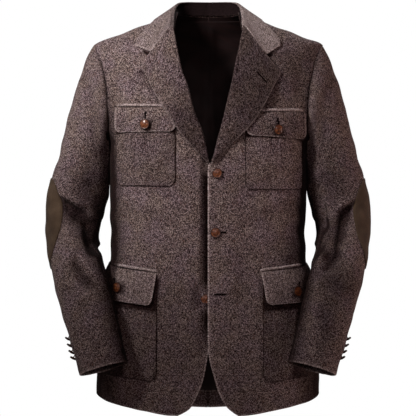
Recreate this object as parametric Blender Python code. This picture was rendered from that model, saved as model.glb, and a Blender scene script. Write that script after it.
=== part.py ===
"""Tweed hacking jacket, filled out as it hangs on the body, hollow and open.

Frame: metres, +Z up, the fronts face -Y, +X is the wearer's left side. The
origin is the middle of the neck opening, level with the nape of the neck.

The body is one skin of level rings. A point on it is found by its angle round
the body (0 at centre front, 90 degrees at the side, 180 at centre back) and its
height. Each cut piece is a stretch of that skin with a wall behind it, and
what is sewn on top is the same skin moved further out. The sleeves are rings
along a bent arm line that grow out of the armholes.
"""

import bpy
import numpy as np

# ---------------------------------------------------------------- dimensions

WALL = 0.0022            # tweed with its canvas
PATCH_WALL = 0.0016      # pockets, flaps and elbow patches
LINING_WALL = 0.0010
SEAM = 0.0003            # space kept between two pieces at a seam
REST = 0.0011            # space under a piece that lies on a curved panel
PATCH_REST = 0.0018      # and under an elbow patch, where the curve is tighter
BUTTON_REST = 0.0005     # under a button's shank
LINING_REST = 0.0009     # between the backs and the lining behind them
CUFF_REST = 0.0018       # and between a cuff and its lining
SLEEVE_REST = 0.0018     # between a sleeve and the body's side
SIDE_SOFTNESS = 0.004    # over which a sleeve's curve gives way to the body's
ROLL_RADIUS = 0.0034     # soft roll of collar and lapels
ROLL_STAND = 0.0058      # how far the middle of that roll stands off the panel
ROLL_SETBACK = 0.0020    # the panel's edge lies this far behind the roll line

NAPE = 0.004             # top of the back at the collar seam
SHOULDER_TIP = -0.0612   # height of the armhole's top
ARMHOLE_FOOT = -0.268    # height of the underarm point
NECK_POINT = -0.006      # top of the front at the shoulder seam
BREAK = -0.302           # where the fronts start to turn back as lapels
SKIRT = -0.650           # below this the rows bend to follow the hem
HEM = -0.780             # nominal hem

LAP = 0.0040             # the left front lies this far above the right one
LAP_FULL, LAP_NONE = 0.034, 0.085     # x where the lift is whole, and gone
FALL = 0.0075            # the right front sinks this far behind the left one's edge
FALL_FROM, FALL_TO = 0.020, 0.042     # x where it has sunk, and where it starts to
FALL_ROWS = (-0.302, -0.350, -0.560, -0.690)    # heights where it starts, is whole, ends
SIDE_SEAM = 100.0        # angle of the side seam below the waist, degrees

LOWER_POCKET_LIFT = 0.0006       # the lower pockets lie this much further out
CHEST_FLAP_LIFT = 0.0009         # and the flaps above their pockets
LOWER_FLAP_LIFT = 0.0023
LOWER_FLAP_PROUD = 0.0045        # the lower flaps' front corners stand out by this
ARC_PER_RADIAN = 0.18            # metres round the front for each radian, about

LEAF_WALL = 0.8 * WALL           # collar and lapels, pressed thinner
LAPEL_LIFT = 0.0012              # a lapel's edge above the front
LAPEL_OVER_FLAP = 0.0062         # and further out where it passes over a flap
COLLAR_LIFT = 0.0010             # the collar's edge above the front's wall
ROLL_FADE = 1.5                  # power by which the roll dies towards the edge

FRONT_BUTTON = 0.0100    # radii of the buttons
POCKET_BUTTON = 0.0098
CUFF_BUTTON = 0.0066
FRONT_SHANK = 0.0016     # thread shanks under them
CUFF_SHANK = 0.0046
CUFF_FOOT = 0.0011       # the leaning shanks' middle stands this far off the sleeve
CUFF_BUTTON_ANGLE = -20.0        # round the sleeve, degrees
CUFF_BUTTON_TILT = 40.0          # they lean towards the cuff, degrees
CUFF_BUTTON_STATIONS = (0.835, 0.861, 0.886, 0.911)

BODY_COLUMNS = ("height", "half_width", "front", "back", "squareness")
BODY = (
    (0.004, 0.063, 0.040, 0.074, 2.10),     # neck
    (-0.0125, 0.107, 0.060, 0.084, 2.10),
    (-0.0368, 0.171, 0.086, 0.100, 2.15),   # along the shoulder
    (-0.0630, 0.230, 0.104, 0.112, 2.20),   # shoulder tip
    (-0.085, 0.2335, 0.113, 0.119, 2.25),
    (-0.130, 0.232, 0.124, 0.127, 2.30),
    (-0.180, 0.2255, 0.131, 0.131, 2.35),
    (-0.225, 0.212, 0.135, 0.130, 2.40),    # chest
    (-0.250, 0.2025, 0.1365, 0.128, 2.40),
    (-0.270, 0.1975, 0.137, 0.126, 2.40),   # underarm
    (-0.320, 0.1965, 0.1365, 0.118, 2.40),
    (-0.385, 0.196, 0.135, 0.107, 2.40),
    (-0.430, 0.1935, 0.134, 0.102, 2.40),   # waist
    (-0.480, 0.195, 0.134, 0.105, 2.40),
    (-0.550, 0.2035, 0.136, 0.116, 2.40),
    (-0.620, 0.2125, 0.139, 0.127, 2.35),   # hip
    (-0.700, 0.221, 0.142, 0.133, 2.30),
    (-0.800, 0.2235, 0.144, 0.133, 2.30),
)

ARMHOLE_COLUMNS = ("height", "x")
ARMHOLE = (
    (-0.0580, 0.2262), (-0.085, 0.2165), (-0.103, 0.2095), (-0.131, 0.2030),
    (-0.167, 0.1980), (-0.210, 0.1960), (-0.240, 0.1965), (-0.258, 0.1985),
    (-0.270, 0.2010),
)

# How far the hem lies above or below its nominal height, round the body.
HEM_COLUMNS = ("angle", "rise")
HEM_SHAPE = (
    (0, -0.0060), (26, -0.0060), (45, 0.002), (66, 0.014), (90, 0.027),
    (106, 0.018), (128, -0.001), (150, -0.012), (180, -0.016),
)

# Front edges in the front view, roll line first, then the cutaway. The two
# sides differ a little, and the right front runs on under the left one.
EDGE_COLUMNS = ("height", "x")
EDGES = {
    "left": (
        (0.001, 0.0698), (-0.0257, 0.0709), (-0.0743, 0.0631), (-0.1108, 0.0540),
        (-0.1412, 0.0486), (-0.1870, 0.0379), (-0.2025, 0.0346), (-0.2553, 0.0207),
        (-0.2922, 0.0106), (BREAK, 0.0016), (-0.3200, 0.0006), (-0.6300, 0.0006),
        (-0.6513, 0.0008), (-0.6726, 0.0030), (-0.7035, 0.0110), (-0.7324, 0.0199),
        (-0.7614, 0.0347), (-0.7780, 0.0552), (HEM, 0.0600),
    ),
    "right": (
        (-0.0044, 0.0690), (-0.0208, 0.0700), (-0.0588, 0.0643), (-0.0872, 0.0592),
        (-0.1243, 0.0513), (-0.1441, 0.0433), (-0.1896, 0.0313), (-0.2070, 0.0262),
        (-0.2381, 0.0130), (-0.2690, 0.0060), (-0.2951, -0.0010), (-0.3100, -0.0220),
        (-0.3300, -0.0270), (-0.4400, -0.0250), (-0.5600, -0.0140), (-0.6200, -0.0060),
        (-0.6513, -0.0020), (-0.6668, 0.0010), (-0.6919, 0.0054), (-0.7170, 0.0112),
        (-0.7421, 0.0216), (-0.7664, 0.0355), (-0.7780, 0.0540), (HEM, 0.0600),
    ),
}

# Lapels: height where each row leaves the roll line, and where it ends.
LAPEL_COLUMNS = ("row", "roll_height", "edge_x", "edge_height")
LAPELS = {
    "left": (
        (0.00, -0.2950, 0.0115, -0.2985), (0.14, -0.2640, 0.0379, -0.2686),
        (0.28, -0.2260, 0.0620, -0.2446), (0.42, -0.1880, 0.0830, -0.2220),
        (0.58, -0.1480, 0.1020, -0.1940), (0.78, -0.0940, 0.1200, -0.1600),
        (1.00, -0.0370, 0.1404, -0.1227),
    ),
    "right": (
        (0.00, -0.2960, -0.0010, -0.2990), (0.14, -0.2640, 0.0250, -0.2730),
        (0.28, -0.2260, 0.0480, -0.2460), (0.42, -0.1880, 0.0700, -0.2145),
        (0.58, -0.1480, 0.0890, -0.1835), (0.78, -0.0940, 0.1090, -0.1470),
        (1.00, -0.0370, 0.1287, -0.1081),
    ),
}
NOTCH = {"left": (0.1117, -0.0870), "right": (0.1107, -0.0812)}     # x, height
GORGE_TOP = (0.0703, -0.0330)
LEAF_SWELL = 0.0012      # how far the collar's leaf is crowned
COLLAR_STEPS = 10        # sections of each half of the collar
GORGE_GAP = 0.0012       # half the space kept along the gorge seam
NOTCH_AT = 0.60          # share of the row at which it turns the notch

# Collar, from centre back to the gorge: the roll line, the outer edge on the
# body's skin, and the seam at the foot of the stand.
COLLAR_COLUMNS = ("station", "fold_x", "fold_y", "fold_z", "edge_angle",
                  "edge_z", "seam_x", "seam_y", "seam_z")
COLLAR = (
    (0.00, 0.0000, 0.0800, 0.0310, 180.0, -0.0120, 0.0000, 0.0720, 0.0070),
    (0.20, 0.0330, 0.0730, 0.0308, 152.0, -0.0122, 0.0300, 0.0655, 0.0068),
    (0.38, 0.0560, 0.0540, 0.0280, 124.0, -0.0130, 0.0490, 0.0490, 0.0062),
    (0.54, 0.0660, 0.0280, 0.0190, 97.0, -0.0100, 0.0585, 0.0260, 0.0066),
    (0.68, 0.0690, -0.0020, 0.0065, 77.0, -0.0152, 0.0605, 0.0000, 0.0064),
    (0.84, 0.0700, -0.0360, -0.0100, 63.5, -0.0355, 0.0635, -0.0320, -0.0100),
    (1.00, 0.0703, -0.0680, -0.0300, 57.1, -0.0700, 0.0660, -0.0640, -0.0330),
)

CAP_LENGTH = 0.4         # stations that a sleeve's cap takes up
CAP_GAP = 0.02           # share of the cap that is cut back at the armhole
ARMHOLE_GAP = 0.0016     # and how far the cap starts outside the seam

# How a cap leaves the armhole: across, along and down, and how much more so
# on its outer side; and how fast it meets the first ring, inside and outside.
CAP_LEAVE = (0.050, 0.050, 0.050)
CAP_LEAVE_OUTSIDE = (0.020, 0.0, 0.060)
CAP_ARRIVE = (0.09, 0.19)

# Sleeve rings along the arm, from just below the armhole to the cuff.
SLEEVE_COLUMNS = ("station", "x", "y", "z", "half_width", "half_depth")
SLEEVE = (
    (0.00, 0.2455, 0.0020, -0.3000, 0.0555, 0.0640),
    (0.12, 0.2555, -0.0020, -0.3450, 0.0595, 0.0610),
    (0.24, 0.2645, -0.0060, -0.3900, 0.0575, 0.0585),
    (0.36, 0.2680, -0.0160, -0.4330, 0.0530, 0.0560),     # elbow
    (0.48, 0.2625, -0.0440, -0.4760, 0.0515, 0.0530),
    (0.62, 0.2485, -0.0930, -0.5270, 0.0520, 0.0480),
    (0.78, 0.2300, -0.1230, -0.5900, 0.0505, 0.0445),
    (0.90, 0.2130, -0.1450, -0.6480, 0.0490, 0.0420),
    (1.00, 0.2000, -0.1590, -0.6930, 0.0475, 0.0405),     # cuff
)
CUFF_TILT = 0.33         # how far the cuff's ring turns back towards level, 0 to 1
TOP_SLEEVE = (-55.0, 150.0)      # angles round the sleeve, 0 outwards, 90 in front
UNDER_SLEEVE = (150.0, 305.0)

# Patch pockets and flaps on the fronts: x of their front edge at the top, and
# how far it slants back; their rear edge as x, or in degrees round the body
# where they reach the side; heights of top and bottom at both; the radius of
# their lower corners; and how far the cloth swells.
POCKET_COLUMNS = ("front_x", "slant", "rear", "top_front", "top_rear", "bottom_front",
                  "bottom_rear", "corner", "swell")
CHEST_POCKETS = {
    "left": (0.0720, 0.0, 0.1830, -0.2010, -0.2010, -0.3490, -0.3490, 0.014, 0.0015),
    "right": (0.0630, 0.0, 0.1800, -0.1930, -0.1900, -0.3430, -0.3410, 0.014, 0.0015),
}
CHEST_FLAPS = {
    "left": (0.0740, 0.0, 0.1870, -0.2000, -0.1990, -0.2440, -0.2490, 0.012, 0.0012),
    "right": (0.0620, 0.0, 0.1810, -0.1920, -0.1890, -0.2370, -0.2360, 0.012, 0.0012),
}
LOWER_POCKETS = {
    "left": (0.1060, 0.0, 92.0, -0.5120, -0.4960, -0.7240, -0.7060, 0.020, 0.0040),
    "right": (0.0990, 0.0, 92.0, -0.5140, -0.4940, -0.7220, -0.7040, 0.020, 0.0040),
}
LOWER_FLAPS = {
    "left": (0.1025, 0.009, 93.0, -0.5100, -0.4950, -0.5735, -0.5640, 0.012, 0.0030),
    "right": (0.0990, 0.009, 93.0, -0.5120, -0.4920, -0.5750, -0.5550, 0.012, 0.0030),
}

PATCH_CENTRE, PATCH_SPREAD = 2.0, 60.0       # elbow patch round the sleeve, degrees
PATCH_FROM, PATCH_TO = 0.105, 0.525          # and along it, in stations

# Buttons on the fronts: name, side, x and height in the front view, how far
# their foot stands off the front's face, and radius.
FRONT_BUTTONS = (
    ("front_button_top", "left", 0.0174, -0.3175, BUTTON_REST, FRONT_BUTTON),
    ("front_button_middle", "left", 0.0143, -0.4325, BUTTON_REST, FRONT_BUTTON),
    ("front_button_bottom", "right", 0.0048, -0.5605, 0.0012, FRONT_BUTTON),
    ("chest_button_left", "left", 0.1322, -0.2322, 0.0080, POCKET_BUTTON),
    ("chest_button_right", "right", 0.1190, -0.2224, 0.0080, POCKET_BUTTON),
    ("lower_button_left", "left", 0.1645, -0.5488, 0.0120, POCKET_BUTTON),
    ("lower_button_right", "right", 0.1674, -0.5410, 0.0115, POCKET_BUTTON),
)

# Section of a button from the top of its shank to the middle of its dome:
# share of the radius, and height. The shank is as wide as the first row.
BUTTON_SECTION = (
    (0.30, 0.0), (0.96, 0.0), (1.00, 0.0016), (0.86, 0.0034), (0.35, 0.0044),
)

DIAGONAL_TIE = 1e-5      # diagonals nearer than this count as equal

LOOKS = {
    # name: (colour, roughness, metallic)
    "tweed": ((0.085, 0.055, 0.050), 0.92, 0.0),
    "collar_tweed": ((0.110, 0.072, 0.062), 0.92, 0.0),
    "pocket_tweed": ((0.078, 0.050, 0.046), 0.92, 0.0),
    "suede": ((0.044, 0.026, 0.016), 0.80, 0.0),
    "lining": ((0.006, 0.003, 0.003), 0.45, 0.0),
    "button": ((0.130, 0.048, 0.020), 0.30, 0.0),
}


# -------------------------------------------------------------------- tables

def smooth(x, xs, ys):
    """Cubic through (xs, ys) that never overshoots between two rows."""
    order = np.argsort(xs)
    xs, ys = np.asarray(xs, float)[order], np.asarray(ys, float)[order]
    step = np.diff(xs)
    slope = np.diff(ys) / step
    inner = np.where(slope[1:] * slope[:-1] > 0,
                     2 * slope[1:] * slope[:-1]
                     / np.where(slope[1:] + slope[:-1] == 0, 1, slope[1:] + slope[:-1]), 0)
    tangent = np.concatenate(([slope[0]], inner, [slope[-1]]))
    x = np.clip(x, xs[0], xs[-1])
    k = np.clip(np.searchsorted(xs, x, side="right") - 1, 0, len(step) - 1)
    t = (x - xs[k]) / step[k]
    return (ys[k] * (1 + 2 * t) * (1 - t) ** 2 + ys[k + 1] * t * t * (3 - 2 * t)
            + step[k] * (tangent[k] * t * (1 - t) ** 2 - tangent[k + 1] * t * t * (1 - t)))


def column(table, columns, name, x):
    """One named column of a table, read at x along its first column."""
    rows = np.asarray(table)
    return smooth(x, rows[:, 0], rows[:, columns.index(name)])


def ramp(x, start, end):
    """0 before start, 1 past end, smooth between."""
    t = np.clip((x - start) / (end - start), 0, 1)
    return t * t * (3 - 2 * t)


def unit(vectors):
    return vectors / np.maximum(np.linalg.norm(vectors, axis=-1, keepdims=True), 1e-12)


# ------------------------------------------------------------ the body's skin

def body(name, z):
    return column(BODY, BODY_COLUMNS, name, z)


def skin_at(angle, z):
    """Point on the ring at height z, on the ray at that angle (radians)."""
    n = body("squareness", z)
    depth = np.where(np.cos(angle) > 0, body("front", z), body("back", z))
    radius = (np.abs(np.sin(angle) / body("half_width", z)) ** n
              + np.abs(np.cos(angle) / depth) ** n) ** (-1 / n)
    return np.stack((radius * np.sin(angle), -radius * np.cos(angle), z), axis=-1)


def skin(angle, z, out=0.0):
    """Point on the body's skin, moved out along its normal."""
    angle, z = np.broadcast_arrays(np.asarray(angle, float), np.asarray(z, float))
    small = 1e-4
    across = skin_at(angle + small, z) - skin_at(angle - small, z)
    up = skin_at(angle, z + small) - skin_at(angle, z - small)
    normal = unit(np.cross(across, up))
    return skin_at(angle, z) + normal * np.asarray(out)[..., None]


def front_angle(x, z):
    """Angle at which the front half of ring z passes x."""
    n = body("squareness", z)
    share = np.clip(np.abs(x) / body("half_width", z), 0, 1)
    y = body("front", z) * (1 - share ** n) ** (1 / n)
    return np.arctan2(x, y)


def back_angle(x, z):
    """Angle at which the back half of ring z passes x, between 90 and 180."""
    n = body("squareness", z)
    share = np.clip(np.abs(x) / body("half_width", z), 0, 1)
    y = body("back", z) * (1 - share ** n) ** (1 / n)
    return np.arctan2(x, -y)


def lift(side, angle, z):
    """How far a front stands off the skin: the left one laps, the right one falls."""
    x = skin_at(angle, z)[..., 0]
    if side == "left":
        low = 1 - ramp(z, BREAK + 0.01, BREAK + 0.09)
        return LAP * (1 - ramp(x, LAP_FULL, LAP_NONE)) * low
    start, whole, easing, end = FALL_ROWS
    rows = ramp(-z, -start, -whole) * (1 - ramp(-z, -easing, -end))
    return -FALL * (1 - ramp(x, FALL_FROM, FALL_TO)) * rows


def bend_to_hem(angle, row):
    """Height of a row at an angle: level above the skirt, along the hem below."""
    degrees = np.degrees(np.abs(angle))
    share = np.clip((SKIRT - row) / (SKIRT - HEM), 0, 1)
    return row + share * column(HEM_SHAPE, HEM_COLUMNS, "rise", degrees)


# -------------------------------------------------------------------- meshes

def make_object(name, points, faces, look):
    """One closed body with its own material."""
    mesh = bpy.data.meshes.new(name)
    mesh.from_pydata([tuple(p) for p in points], [], [tuple(f) for f in faces])
    mesh.update()
    mesh.shade_smooth()
    part = bpy.data.objects.new(name, mesh)
    bpy.context.scene.collection.objects.link(part)
    colour, roughness, metallic = LOOKS[look]
    material = bpy.data.materials.new(name)
    material.use_nodes = True
    shader = material.node_tree.nodes["Principled BSDF"]
    shader.inputs["Base Color"].default_value = (*colour, 1)
    shader.inputs["Roughness"].default_value = roughness
    shader.inputs["Metallic"].default_value = metallic
    mesh.materials.append(material)
    return part


def wall_from(name, outer, inner, look, closed=False):
    """A sheet with two faces and a rim: rows by columns of points each.

    The columns of a closed sheet join up into a tube, open at both ends.
    """
    rows, columns = outer.shape[:2]
    points = np.concatenate((outer.reshape(-1, 3), inner.reshape(-1, 3)))
    back = rows * columns
    index = np.arange(back).reshape(rows, columns)
    right = np.roll(index, -1, axis=1) if closed else index[:, 1:]
    left = index if closed else index[:, :-1]
    quads = np.stack((left[:-1], left[1:], right[1:], right[:-1]), axis=-1).reshape(-1, 4)
    sheet = short_triangles(points, quads)
    edges = [(left[0], right[0]), (right[-1], left[-1])]
    if not closed:
        edges += [(index[1:, 0], index[:-1, 0]), (index[:-1, -1], index[1:, -1])]
    rim = [np.stack((a, b, b + back, a + back), axis=-1) for a, b in edges]
    rim = short_triangles(points, np.concatenate(rim))
    faces = np.concatenate((sheet, sheet[:, ::-1] + back, rim))
    if volume(points, faces) < 0:
        faces = faces[:, ::-1]
    return make_object(name, points, faces.tolist(), look)


def short_triangles(points, quads):
    """Each quad cut along its shorter diagonal, so that two faces of a wall match."""
    a, b, c, d = quads.T
    first = np.linalg.norm(points[a] - points[c], axis=1)
    second = np.linalg.norm(points[b] - points[d], axis=1)
    flip = (second < first - DIAGONAL_TIE)[:, None]
    one = np.where(flip, np.stack((a, b, d), 1), np.stack((a, b, c), 1))
    two = np.where(flip, np.stack((b, c, d), 1), np.stack((a, c, d), 1))
    return np.concatenate((one, two))


def volume(points, triangles):
    """Signed volume inside the triangles, positive where they point outwards."""
    a, b, c = (points[triangles[:, k]] for k in range(3))
    return np.einsum("ij,ij->i", a, np.cross(b, c)).sum() / 6


def grid_normals(grid):
    """Unit normals of a grid of points, from its rows and columns."""
    return unit(np.cross(np.gradient(grid, axis=1), np.gradient(grid, axis=0)))


def mirrored(side, points):
    """Points worked out for the left side, put on the side asked for."""
    return points if side == "left" else points * (-1, 1, 1)


# -------------------------------------------------------------------- panels

BACK_ROWS = np.concatenate((
    [NAPE, NECK_POINT], np.linspace(-0.019, -0.050, 3), [SHOULDER_TIP],
    np.linspace(-0.074, -0.232, 6), [-0.252, ARMHOLE_FOOT],
    np.linspace(-0.305, SKIRT, 7), np.linspace(-0.683, HEM, 4)))
FRONT_ROWS = BACK_ROWS[1:]


def seam_angle(row):
    """Side seam: straight down from the underarm, then a little to the back."""
    return np.radians(90 + (SIDE_SEAM - 90) * ramp(-row, 0.28, 0.40))


def armhole_x(row):
    return column(ARMHOLE, ARMHOLE_COLUMNS, "x", row)


def front_end(row):
    """Angle where a front ends: shoulder seam, armhole or side seam."""
    half_gap = SEAM / 2 / body("half_width", row)
    in_armhole = (row < SHOULDER_TIP) & (row > ARMHOLE_FOOT)
    plain = np.where(row < ARMHOLE_FOOT + 1e-6, seam_angle(row), np.pi / 2)
    return np.where(in_armhole, front_angle(armhole_x(row), row), plain - half_gap)


def back_end(row):
    """Angle where a back ends: shoulder seam, armhole or side seam."""
    half_gap = SEAM / 2 / body("half_width", row)
    in_armhole = (row < SHOULDER_TIP) & (row > ARMHOLE_FOOT)
    plain = np.where(row < ARMHOLE_FOOT + 1e-6, seam_angle(row), np.pi / 2)
    return np.where(in_armhole, back_angle(armhole_x(row), row), plain + half_gap)


def edge_x(side, row):
    """Front edge in the front view, set back behind the roll of the lapel."""
    setback = ROLL_SETBACK * ramp(row, BREAK - 0.004, BREAK + 0.02)
    return column(EDGES[side], EDGE_COLUMNS, "x", row) + setback


def front_panel(side):
    rows = FRONT_ROWS
    share = np.linspace(0, 1, 10)
    start = front_angle(edge_x(side, rows), rows)
    angle = start[:, None] + (front_end(rows) - start)[:, None] * share
    z = bend_to_hem(angle, rows[:, None])
    out = lift(side, angle, z)
    wall_from("front_" + side, mirrored(side, skin(angle, z, out)),
              mirrored(side, skin(angle, z, out - WALL)), "tweed")


def back_grid(out, rows=BACK_ROWS):
    """Half of the back from the centre to the side, in the left half."""
    share = np.linspace(0, 1, 6)
    middle = np.pi - SEAM / 2 / body("back", rows)
    angle = middle[:, None] + (back_end(rows) - middle)[:, None] * share
    return skin(angle, bend_to_hem(angle, rows[:, None]), out)


def back_panel(side):
    wall_from("back_" + side, mirrored(side, back_grid(0.0)),
              mirrored(side, back_grid(-WALL)), "tweed")


def back_lining():
    """One thin skin inside both backs, from below the neck to above the hem."""
    faces = []
    rows = BACK_ROWS[1:-1]
    for depth in (WALL + LINING_REST, WALL + LINING_REST + LINING_WALL):
        half = back_grid(-depth, rows)
        half[:, 0, 0] = 0
        faces.append(np.concatenate((half[:, :0:-1], half * (-1, 1, 1)), axis=1))
    wall_from("lining_back", faces[0], faces[1], "lining")


# ---------------------------------------------------------- pieces on a front

def on_front(x, z, out):
    """Point on the left front by its place in the front view."""
    return skin(front_angle(x, z), z, out)


def patch(name, side, row, base, look, rear_is_angle=False, proud_edge=0.0):
    """A pocket or flap: the panel's skin moved out, its lower corners round."""
    cut = dict(zip(POCKET_COLUMNS, row))
    across = np.linspace(0, 1, 7)
    down = np.array([0, 0.28, 0.56, 0.82, 0.94, 1.0])[:, None]
    top = cut["top_front"] + (cut["top_rear"] - cut["top_front"]) * across
    low = cut["bottom_front"] + (cut["bottom_rear"] - cut["bottom_front"]) * across
    z = top + (low - top) * down
    start = front_angle(cut["front_x"] + cut["slant"] * down, z[:, :1])
    end = np.radians(cut["rear"]) if rear_is_angle else front_angle(cut["rear"], z[:, -1:])
    height = cut["top_front"] - cut["bottom_front"]
    left = np.clip((cut["corner"] - (1 - down) * height) / cut["corner"], 0, 1)
    inset = cut["corner"] * (1 - np.sqrt(1 - left ** 2))
    share = inset / ((end - start) * ARC_PER_RADIAN)
    angle = start + (end - start) * (share + (1 - 2 * share) * across)
    dome = np.sin(np.pi * across) ** 0.7 * np.sin(np.pi * np.minimum(down, 0.98)) ** 0.7
    proud = proud_edge * down ** 2 * (1 - ramp(across, 0.35, 0.85))
    out = lift(side, angle, z) + base + cut["swell"] * dome + proud
    wall_from(name, mirrored(side, skin(angle, z, out + PATCH_WALL)),
              mirrored(side, skin(angle, z, out)), look)


def pockets(side):
    over = REST + PATCH_WALL + REST
    patch("chest_pocket_" + side, side, CHEST_POCKETS[side], REST, "pocket_tweed")
    patch("chest_flap_" + side, side, CHEST_FLAPS[side], over + CHEST_FLAP_LIFT, "tweed")
    patch("lower_pocket_" + side, side, LOWER_POCKETS[side], REST + LOWER_POCKET_LIFT,
          "pocket_tweed", True)
    patch("lower_flap_" + side, side, LOWER_FLAPS[side], over + LOWER_FLAP_LIFT,
          "tweed", True, LOWER_FLAP_PROUD)


# ---------------------------------------------------------- lapels and collar

def notch_row(side, share, end_point, gap):
    """Top row of a lapel, or front row of the collar: gorge, then the notch."""
    notch = np.array(NOTCH[side])
    seam = notch + gap * np.array((0.8, 0.6))
    start = np.array(GORGE_TOP) + gap * np.array((0.8, 0.6))
    along = np.clip(share / NOTCH_AT, 0, 1)[:, None]
    past = np.clip((share - NOTCH_AT) / (1 - NOTCH_AT), 0, 1)[:, None]
    return (start + (seam - start) * along) * (past == 0) \
        + (seam + (np.array(end_point) - seam) * past) * (past > 0)


def lapel(side):
    """Rows leave the roll line, follow the front and end at the lapel's edge."""
    share = np.array([0, 0.2, 0.4, NOTCH_AT, 0.8, 1.0])
    row = np.linspace(0, 1, 11)
    roll_z = column(LAPELS[side], LAPEL_COLUMNS, "roll_height", row)
    roll_x = column(EDGES[side], EDGE_COLUMNS, "x", roll_z)
    end_x = column(LAPELS[side], LAPEL_COLUMNS, "edge_x", row)
    end_z = column(LAPELS[side], LAPEL_COLUMNS, "edge_height", row)
    x = roll_x[:, None] + (end_x - roll_x)[:, None] * share
    z = roll_z[:, None] + (end_z - roll_z)[:, None] * share
    top = notch_row(side, share, (end_x[-1], end_z[-1]), -GORGE_GAP)
    pull = ramp(row, 0.70, 1.0)[:, None]
    x += pull * (top[:, 0] - x[-1])
    z += pull * (top[:, 1] - z[-1])

    over_flap = ramp(row, 0.15, 0.35) * (1 - ramp(row, 0.72, 0.95))
    edge_out = REST + LAPEL_LIFT + LAPEL_OVER_FLAP * over_flap
    body_out = ROLL_STAND + (edge_out[:, None] - ROLL_STAND) * share ** ROLL_FADE
    angle = front_angle(x, z)
    out = lift(side, angle, z) + body_out + WALL
    outer = skin(angle, z, out)
    nose = skin(angle[:, 0], z[:, 0], out[:, 0] - ROLL_RADIUS)
    above = unit(outer[:, 0] - nose)
    inward = unit(outer[:, 0] - outer[:, 1])
    bends = np.radians([180, 120, 60])
    round_nose = [nose + ROLL_RADIUS * (np.cos(b) * above + np.sin(b) * inward) for b in bends]
    grid = np.concatenate((np.stack(round_nose, axis=1), outer), axis=1)
    inner = grid + LEAF_WALL * grid_normals(grid)
    wall_from("lapel_" + side, mirrored(side, grid), mirrored(side, inner), "collar_tweed")


def collar_half(side):
    """Sections of the left half of the collar, from centre back to the gorge."""
    station = np.linspace(0, 1, COLLAR_STEPS)
    fold = np.stack([column(COLLAR, COLLAR_COLUMNS, "fold_" + a, station) for a in "xyz"], -1)
    seam = np.stack([column(COLLAR, COLLAR_COLUMNS, "seam_" + a, station) for a in "xyz"], -1)
    edge_angle = np.radians(column(COLLAR, COLLAR_COLUMNS, "edge_angle", station))
    edge_z = column(COLLAR, COLLAR_COLUMNS, "edge_z", station)
    edge_out = REST + WALL + COLLAR_LIFT
    edge = skin(edge_angle, edge_z, edge_out)

    tangent = unit(np.gradient(fold, axis=0))
    tangent[0] = (1, 0, 0)
    fall = edge - fold
    fall = unit(fall - (fall * tangent).sum(-1, keepdims=True) * tangent)
    out = unit(np.cross(fall, tangent))
    out *= np.sign((out * (edge * (1, 1, 0) + (0, 0, 0.2))).sum(-1, keepdims=True))
    bends = np.radians([-90, -30, 30, 90])
    arc = [fold + ROLL_RADIUS * (np.sin(b) * out - np.cos(b) * fall) for b in bends]
    stand = [seam, seam + 0.5 * (arc[0] - seam)]

    share = np.array([0.2, 0.4, NOTCH_AT, 0.8, 1.0])
    start = arc[-1]
    swell = LEAF_SWELL * np.sin(np.pi * share)
    leaf = start[:, None] + (edge - start)[:, None] * share[:, None] + out[:, None] * swell[:, None]
    front = notch_row(side, share, (edge[-1, 0], edge[-1, 2]), GORGE_GAP)
    stand_off = edge_out + (ROLL_STAND - COLLAR_LIFT) * (1 - share) ** ROLL_FADE
    target = on_front(front[:, 0], front[:, 1], stand_off)
    target[-1] = edge[-1]
    pull = ramp(station, 0.62, 1.0)[:, None, None]
    leaf = clear_of_body(leaf + pull * (target - leaf[-1]), edge_out)
    return np.concatenate((np.stack(stand + arc, axis=1), leaf), axis=1)


def clear_of_body(points, least):
    """Points moved out along the skin's normal until they stand off enough."""
    angle = np.arctan2(points[..., 0], -points[..., 1])
    z = np.minimum(points[..., 2], NAPE)
    foot = skin_at(angle, z)
    normal = skin(angle, z, 1.0) - foot
    height = ((points - foot) * normal).sum(-1, keepdims=True)
    return points + normal * np.maximum(least - height, 0)


def collar():
    left, right = collar_half("left"), collar_half("right")
    right = right * (-1, 1, 1)
    grid = np.concatenate((right[:0:-1], left), axis=0)
    grid[COLLAR_STEPS - 1, :, 0] = 0
    inner = grid - LEAF_WALL * grid_normals(grid)
    wall_from("collar", grid, inner, "collar_tweed")


# ------------------------------------------------------------------- sleeves

def arm(name, station):
    return column(SLEEVE, SLEEVE_COLUMNS, name, station)


def sleeve_ring(angle, station):
    """Point on the ring at a station: 0 is outwards, 90 degrees in front."""
    small = 1e-3
    low, high = np.clip(station - small, 0, 1), np.clip(station + small, 0, 1)
    centre = np.stack([arm(a, station) for a in "xyz"], -1)
    along = unit(np.stack([arm(a, high) - arm(a, low) for a in "xyz"], -1))
    level = CUFF_TILT * ramp(station, 0.75, 1.0)[..., None] * np.array((0, 1, 0))
    along = unit(along * (1 - level))
    outwards = unit(np.array((1.0, 0, 0)) - along * along[..., :1])
    forwards = np.cross(along, outwards)
    forwards *= np.sign(-forwards[..., 1:2])
    return (centre + outwards * (arm("half_width", station) * np.cos(angle))[..., None]
            + forwards * (arm("half_depth", station) * np.sin(angle))[..., None]), along


def armhole_loop(angle):
    """Point of the armhole that the sleeve's angle is sewn to."""
    turn = np.mod(angle, 2 * np.pi)
    top, foot = SHOULDER_TIP + 0.0003, ARMHOLE_FOOT + 0.0030
    share = (1 - np.cos(turn)) / 2
    z = top + (foot - top) * share ** 0.92
    x = armhole_x(z)
    at_front = np.where(turn < np.pi, front_angle(x, z), back_angle(x, z))
    return skin_at(at_front, z) + (ARMHOLE_GAP, 0, 0)


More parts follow.
